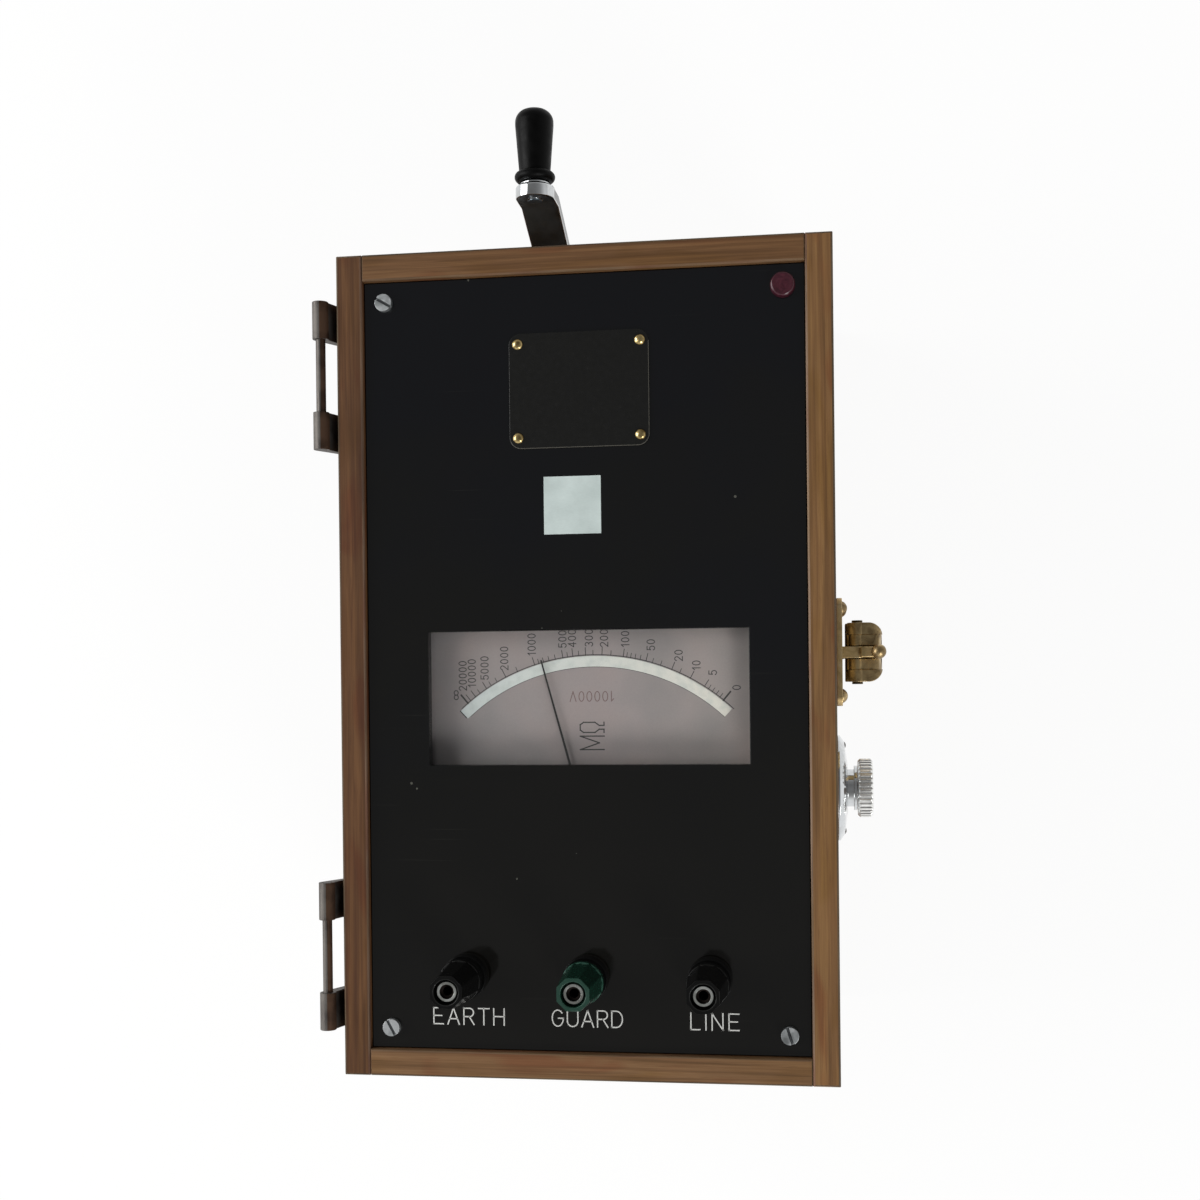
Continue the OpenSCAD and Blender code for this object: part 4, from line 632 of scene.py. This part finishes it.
# Lettering: one drawn line for each stroke, as an engraver's letter guide gives

def arc(cu, cv, ru, rv, start, stop, steps=12):
    """Points on part of an ellipse, given by its middle, its radii and two angles in degrees."""
    turns = [math.radians(start + (stop - start) * i / steps) for i in range(steps + 1)]
    return [(cu + ru * math.cos(a), cv + rv * math.sin(a)) for a in turns]


# Strokes on a letter one unit high, and the letter's width
LETTERS = {
    "A": (0.72, [[(0, 0), (0.36, 1), (0.72, 0)], [(0.12, 0.33), (0.6, 0.33)]]),
    "D": (0.66, [[(0, 0), (0, 1), (0.28, 1), *arc(0.28, 0.5, 0.38, 0.5, 90, -90), (0, 0)]]),
    "E": (0.6, [[(0.6, 1), (0, 1), (0, 0), (0.6, 0)], [(0, 0.52), (0.5, 0.52)]]),
    "G": (0.7, [[*arc(0.35, 0.5, 0.35, 0.5, 42, 360, 20), (0.4, 0.5)]]),
    "H": (0.66, [[(0, 0), (0, 1)], [(0.66, 0), (0.66, 1)], [(0, 0.52), (0.66, 0.52)]]),
    "I": (0.02, [[(0.01, 0), (0.01, 1)]]),
    "L": (0.54, [[(0, 1), (0, 0), (0.54, 0)]]),
    "M": (0.56, [[(0, 0), (0, 1), (0.28, 0.2), (0.56, 1), (0.56, 0)]]),
    "N": (0.66, [[(0, 0), (0, 1), (0.66, 0), (0.66, 1)]]),
    "R": (0.64, [[(0, 0), (0, 1), (0.36, 1), *arc(0.36, 0.74, 0.26, 0.26, 90, -90), (0, 0.48)],
                 [(0.34, 0.48), (0.64, 0)]]),
    "T": (0.66, [[(0, 1), (0.66, 1)], [(0.33, 1), (0.33, 0)]]),
    "U": (0.66, [[(0, 1), (0, 0.33), *arc(0.33, 0.33, 0.33, 0.33, 180, 360), (0.66, 1)]]),
    "V": (0.62, [[(0, 1), (0.31, 0), (0.62, 1)]]),
    "Ω": (0.42, [[(0, 0), (0.13, 0), (0.13, 0.2), (0, 0.38), (0, 0.86), (0.1, 1), (0.32, 1),
                  (0.42, 0.86), (0.42, 0.38), (0.29, 0.2), (0.29, 0), (0.42, 0)]]),
    "∞": (1.24, [arc(0.32, 0.5, 0.3, 0.28, 0, 360, 16), arc(0.92, 0.5, 0.3, 0.28, 180, 540, 16)]),
    "0": (0.52, [arc(0.26, 0.5, 0.26, 0.5, 0, 360, 20)]),
    "1": (0.3, [[(0, 0.76), (0.22, 1), (0.22, 0)]]),
    "2": (0.52, [[*arc(0.26, 0.73, 0.25, 0.27, 165, -40), (0, 0), (0.52, 0)]]),
    "3": (0.5, [[*arc(0.24, 0.75, 0.23, 0.25, 150, -80), *arc(0.24, 0.27, 0.26, 0.27, 80, -150)]]),
    "4": (0.54, [[(0.4, 0), (0.4, 1), (0, 0.3), (0.54, 0.3)]]),
    "5": (0.52, [[(0.48, 1), (0.07, 1), (0.04, 0.56), *arc(0.25, 0.33, 0.27, 0.33, 130, -150)]]),
}


def word_strokes(word, middle, height, width, turn=0.0):
    """A word's strokes in mm, set about its middle to a whole width and turned by degrees."""
    widths = [LETTERS[c][0] * height for c in word]
    gap = (width - sum(widths)) / max(1, len(word) - 1)
    cos, sin = math.cos(math.radians(turn)), math.sin(math.radians(turn))
    at, strokes = -(sum(widths) + gap * (len(word) - 1)) / 2, []
    for letter, letter_width in zip(word, widths):
        for stroke in LETTERS[letter][1]:
            flat = [(at + u * height, (v - 0.5) * height) for u, v in stroke]
            strokes.append([(middle[0] + u * cos - v * sin, middle[1] + u * sin + v * cos)
                            for u, v in flat])
        at += letter_width + gap
    return strokes


def flat_lines(strokes, line, top, deep):
    """Strokes (points in mm) as flat bars of one width, parted where they turn sharply."""
    runs = []
    for stroke in strokes:
        spots = [Vector(spot) for i, spot in enumerate(stroke)
                 if i == 0 or math.dist(spot, stroke[i - 1]) > 0.01]
        run = spots[:1]
        for before, spot, after in zip(spots, spots[1:], spots[2:]):
            run.append(spot)
            if (spot - before).angle(after - spot) > math.radians(35):
                runs.append(run)
                run = [spot]
        runs.append(run + spots[-1:])
    curve = bpy.data.curves.new("line", "CURVE")
    curve.dimensions = "3D"
    curve.bevel_depth = line / 2 * MM
    curve.bevel_resolution = 1
    curve.use_fill_caps = True
    for run in runs:
        run[0] = run[0] + (run[0] - run[1]).normalized() * line * 0.35
        run[-1] = run[-1] + (run[-1] - run[-2]).normalized() * line * 0.35
        spline = curve.splines.new("POLY")
        spline.points.add(len(run) - 1)
        for point, spot in zip(spline.points, run):
            point.co = (*(spot * MM), 0, 1)
    drawing = bpy.data.objects.new("line", curve)
    bpy.context.scene.collection.objects.link(drawing)
    shape = drawing.evaluated_get(bpy.context.evaluated_depsgraph_get())
    mesh = bpy.data.meshes.new_from_object(shape)
    bm = bmesh.new()
    bm.from_mesh(mesh)
    bpy.data.objects.remove(drawing)
    bpy.data.curves.remove(curve)
    bpy.data.meshes.remove(mesh)
    for vert in bm.verts:
        vert.co.z = (top - deep / 2) * MM + vert.co.z * deep / line
    return bm


# Terminal words, cut and filled with white
words = (word_strokes("EARTH", (-51.8, -151.6), 6.9, 31.0)
         + word_strokes("GUARD", (-0.2, -151.6), 6.9, 30.3)
         + word_strokes("LINE", (54.2, -151.8), 6.9, 20.2))
piece("terminal_words", flat_lines(words, 0.9, PANEL_TOP + 0.03, 0.2), "case", [ENGRAVING])

# Scale: its lines, ticks and numbers are set about the pointer's pivot
PIVOT = (3.0, -83.6)
INK_TOP, INK_DEEP = 174.02, 0.1


def inked(strokes, line):
    """Strokes printed on the scale plate."""
    return flat_lines(strokes, line, INK_TOP, INK_DEEP)


def on_scale(angle, radius):
    """A point by its angle from the pivot's upright, in degrees, and its radius."""
    return (PIVOT[0] + radius * math.sin(math.radians(angle)),
            PIVOT[1] + radius * math.cos(math.radians(angle)))


# Numbered readings in megohms with their angles, and the readings of the small ticks
MARKS = ((20000, -38.9), (10000, -37.1), (5000, -33.1), (2000, -26.6), (1000, -17.5), (500, -9.1),
         (400, -6.2), (300, -2.5), (200, 2.2), (100, 8.3), (50, 14.9), (20, 22.6), (10, 28.4),
         (5, 33.0))
MINOR = (1, 2, 3, 4, 15, 30, 40, 60, 70, 80, 90, 150, 250, 350, 450, 600, 700, 800, 900, 1500, 3000,
         4000, 7500)
INFINITY_AT, ZERO_AT = -40.0, 39.6


def scale_angle(megohms):
    """Angle of a reading, between its two nearest numbered marks or between the last and zero."""
    for (high, a), (low, b) in zip(MARKS, MARKS[1:]):
        if low <= megohms <= high:
            share = math.log(megohms / low) / math.log(high / low)
            return b + (a - b) * share
    last, angle = MARKS[-1]
    return ZERO_AT + (angle - ZERO_AT) * megohms / last


def scale_arc(radius, start, stop):
    """One stroke along the scale, between two angles."""
    return [[on_scale(start + (stop - start) * i / 60, radius) for i in range(61)]]


def ticks(angles, foot, head):
    """Strokes outwards along the pointer's line, between two radii."""
    return [[on_scale(angle, foot), on_scale(angle, head)] for angle in angles]


# The lines along the strip, the two end ticks, the numbered ones, the small ones and the end bar
TICK_FOOT = 87.2
marks = [inked(scale_arc(87.3, -42.3, 43.4), 0.5),
         inked(scale_arc(82.05, -42.0, 43.0), 0.28),
         inked(ticks((INFINITY_AT, ZERO_AT), TICK_FOOT, 91.8), 1.1),
         inked(ticks([angle for _, angle in MARKS], TICK_FOOT, 90.5), 0.52),
         inked(ticks([scale_angle(reading) for reading in MINOR], TICK_FOOT, 89.2), 0.44),
         inked(ticks([-43.1], 83.2, 86.6), 1.2)]
piece("scale_marks", joined(marks), "case", [INK])

# Figures by their middles. They run away from the terminals and are read from the latch side
FIGURE_H, FIGURE_GAP = 3.3, 1.0
figures = []
for text, *middle in (("∞", -58.3, -13.2), ("20000", -55.3, -4.8), ("10000", -51.2, -3.7),
                      ("5000", -45.5, -1.5), ("2000", -36.7, 2.6), ("1000", -24.5, 8.5),
                      ("500", -10.9, 10.6), ("400", -6.7, 10.9), ("300", 0.7, 11.0),
                      ("200", 7.3, 10.8), ("100", 16.5, 10.3), ("50", 27.6, 7.6),
                      ("20", 39.5, 2.9), ("10", 47.1, -1.4), ("5", 54.1, -4.6), ("0", 64.2, -11.1)):
    long_way = sum(LETTERS[c][0] * FIGURE_H for c in text) + FIGURE_GAP * (len(text) - 1)
    figures += word_strokes(text, middle, FIGURE_H, long_way, 90)
piece("scale_figures", inked(figures, 0.6), "case", [INK])
UNIT_X = 1.7
piece("scale_unit", inked(word_strokes("MΩ", (UNIT_X, -31.4), 10.4, 11.8, 90), 0.82),
      "case", [INK])
piece("scale_voltage", inked(word_strokes("10000V", (UNIT_X, -14.3), 4.2, 19.0, 180), 0.6),
      "case", [RED_INK])

# Terminals
TERMINALS, TERMINAL_Y, CAP_TOP = (-53, -0.4, 52.2), -134.3, 221.0
SOCKET_FLOOR, SOCKET_LIP, IN_SOCKET = 190, 218.7, 3.16
eased("terminal_bases", 0.3, "case")
# The sockets are dark inside: tarnish, and painted shade down the bore
posts = ease(merged("terminal_posts"), 0.12)
shade_where(posts, 1, lambda c: SOCKET_FLOOR < c.z < SOCKET_LIP
            and min(math.hypot(c.x - x, c.y - TERMINAL_Y) for x in TERMINALS) < IN_SOCKET)
piece("terminal_posts_eased", posts, "case", [NICKEL_BRASS, TARNISH_AND_SHADE_SOCKET],
      ["terminal_posts"])
for word in ("earth", "guard", "line"):
    eased(word + "_collar", 0.3, word + "_collar")
    green = word == "guard"
    # The caps' edge strips are lighter copies: wear from handling, and a painted highlight
    handled = [GREEN_WEAR_AND_HIGHLIGHT, GREEN_TOP_HIGHLIGHT] if green else [BLACK_WEAR_AND_HIGHLIGHT]
    cap = ease(merged(word + "_cap"), 0.55 if green else 0.35, 24, 2,
               lambda e: e.calc_length() > 0.2 * MM, 1)
    # Painted highlight: the green cap's top face takes a lighter copy of the green
    if green:
        shade_where(cap, 2, lambda c: c.z > CAP_TOP - 0.1)
    piece(word + "_cap_eased", cap, word + "_cap", [NODE_FINISH[word + "_cap"], *handled],
          [word + "_cap"])

# Crank: the arm is bright at the grip and on its edges and dull on its faces. Its sides take a
# darker copy of the chrome, a painted shade
ARM_STEP_Y, ARM_HEAD_Z = 203.5, 150
arm = ease(merged("crank_arm"), 0.5, 40, 2, None, 1)
shade_where(arm, 1, lambda c: c.y > ARM_STEP_Y and c.z > ARM_HEAD_Z)
# Painted shade: the faces turned across, the arm's sides, get the darker chrome
for face in arm.faces:
    if abs(face.normal.x) > 0.5 and face.material_index == 0:
        face.material_index = 2
piece("crank_arm_eased", arm, "crank", [DULL_CHROME, CHROME, SIDE_SHADE_CHROME],
      ["crank_arm"])
eased("crank_nut", 0.3, "crank")
eased("crank_bush", 0.25, "case")
spindle = ease(merged("grip_spindle"), 0.15)
shade_where(spindle, 1, lambda c: c.y < ARM_STEP_Y + 1)
piece("grip_spindle_eased", spindle, "crank", [CHROME, DULL_CHROME], ["grip_spindle"])

# Adjuster
eased("adjuster_flange", 0.15, "case", 40)
eased("adjuster_knob", 0.12, "adjuster", 28)

# Latch and hinges
eased("latch_base", 0.3, "case", 40)
eased("latch_screws", 0.08, "case", 40, 1)
# The lever's middle lies lower than its cheeks, with a narrow step between them
LATCH_Y, LEVER_W, CHEEK_W, STEP_W, SUNK = 3.4, 25.2, 5.0, 0.25, 0.7
lever = merged("latch_lever")
for side in (-1, 1):
    for step in (0.0, STEP_W):
        cut_y = LATCH_Y + side * (LEVER_W / 2 - CHEEK_W - step)
        bmesh.ops.bisect_plane(lever, geom=lever.verts[:] + lever.edges[:] + lever.faces[:],
                               plane_co=(0, cut_y * MM, 0), plane_no=(0, 1, 0), dist=1e-7)
lever.normal_update()
between = (LEVER_W / 2 - CHEEK_W - STEP_W * 0.8) * MM
low = [(v, v.normal.copy()) for v in lever.verts if abs(v.co.y - LATCH_Y * MM) < between]
for vert, out in low:
    if out.z > 0.05:
        vert.co -= Vector((out.x, 0, out.z)).normalized() * SUNK * MM
ease(lever, 0.35, 40, 2)
piece("latch_lever_eased", lever, "latch_lever", [AGED_BRASS], ["latch_lever"])

# The hook's shoulder lies over the lug and meets the stem. Its ball is browner than its stem
SHOULDER_AT, SHOULDER_SIZE, BALL_FOOT = (119.9, LATCH_Y, 172.0), (6.8, 4.6, 3.4), 177
shoulder = bmesh.new()
bmesh.ops.create_cube(shoulder, size=1)
bmesh.ops.transform(shoulder, verts=shoulder.verts,
                    matrix=Matrix.Translation(Vector(SHOULDER_AT) * MM)
                    @ Matrix.Diagonal([size * MM for size in SHOULDER_SIZE] + [1]))
ease(shoulder, 0.6, 40, 3)
hook = joined([merged("latch_hook"), shoulder])
shade_where(hook, 1, lambda c: c.z > BALL_FOOT)
piece("latch_hook_eased", hook, "latch_hook", [LUG_BRASS, AGED_BRASS],
      ["latch_hook"])
eased("latch_pins", 0.15, "latch_lever", 40, 1)
# The hinges are satin nickel outside. Towards the board they are painted brown, a painted
# reflection of the wood they face
HINGE_X, KNUCKLE_FOOT = -113.1, 184.5
for name in ("hinge_leaves", "hinge_pins"):
    halves = ease(merged(name), 0.15, 40, 1)
    shade_where(halves, 1, lambda c: c.x > HINGE_X and c.z > KNUCKLE_FOOT)
    piece(name + "_eased", halves, "case", [NICKEL, NICKEL_WOOD_REFLECTION], [name])

# Floor, world and lamps

bpy.ops.mesh.primitive_plane_add(size=60, location=(0, 0, -0.4 * MM))
floor = bpy.context.object
floor.name = "floor"
floor_paint, floor_tree, _ = bare("pale_floor")
floor_seen = 0.0
for ray in ("Is Camera Ray", "Is Glossy Ray", "Is Transmission Ray"):
    floor_seen = add(floor_tree, "Math", {0: floor_seen, 1: add(floor_tree, "LightPath", {}, ray)},
                     operation="ADD")
# Part of the floor's own shade stays, so that it keeps the object's shadow
floor_share = add(floor_tree, "Math", {0: floor_seen, 1: 0.92}, operation="MULTIPLY",
                  use_clamp=True)
floor_own = add(floor_tree, "BsdfPrincipled", {"Base Color": "#f4f4f2", "Roughness": 0.9})
floor_white = add(floor_tree, "Emission", {"Color": "#ffffff", "Strength": 1.0})
add(floor_tree, "OutputMaterial", {"Surface": add(floor_tree, "MixShader", {
    0: floor_share, 1: floor_own, 2: floor_white})})
floor.data.materials.append(floor_paint)

world = bpy.data.worlds.new("studio")
bpy.context.scene.world = world
world.use_nodes = True
sky = world.node_tree
sky.nodes.clear()
# Bright towards the horizon and dim overhead, so that metal and the black panel have contrast
sky_height = add(sky, "SeparateXYZ", {"Vector": add(sky, "TexCoord", {}, "Generated")}, "Z")
sky_level = add(sky, "ValToRGB", {"Fac": sky_height},
                stops=((0.0, 1.0), (0.35, 0.95), (0.72, 0.4), (0.95, 0.26)))
# The room is darker behind the crank, which gives chrome its dark side and the panel its depth
sky_side = add(sky, "MapRange", {"Value": sky_height.node.outputs["Y"], "From Min": -1.0,
                                 "From Max": 1.0, "To Min": 1.05, "To Max": 0.5})
add(sky, "OutputWorld", {"Surface": add(sky, "Background", {"Color": sky_level,
                                                            "Strength": sky_side})})


def lamp(name, at, size, power):
    """A square lamp: its place and size in metres, its power in watts, aimed at the case."""
    data = bpy.data.lights.new(name, "AREA")
    data.shape, data.size, data.energy = "SQUARE", size, power
    made = bpy.data.objects.new(name, data)
    made.location = at
    made.rotation_mode = "QUATERNION"
    made.rotation_quaternion = (LAMP_AIM - Vector(at)).to_track_quat("-Z", "Y")
    bpy.context.scene.collection.objects.link(made)


LAMP_AIM = Vector((0, 0, 0.1))
lamp("window_light", (-1.7, 0.25, 1.1), 1.5, 35)
lamp("near_light", (0.9, -1.3, 1.2), 0.6, 17)

bpy.context.scene.view_settings.view_transform = "Standard"
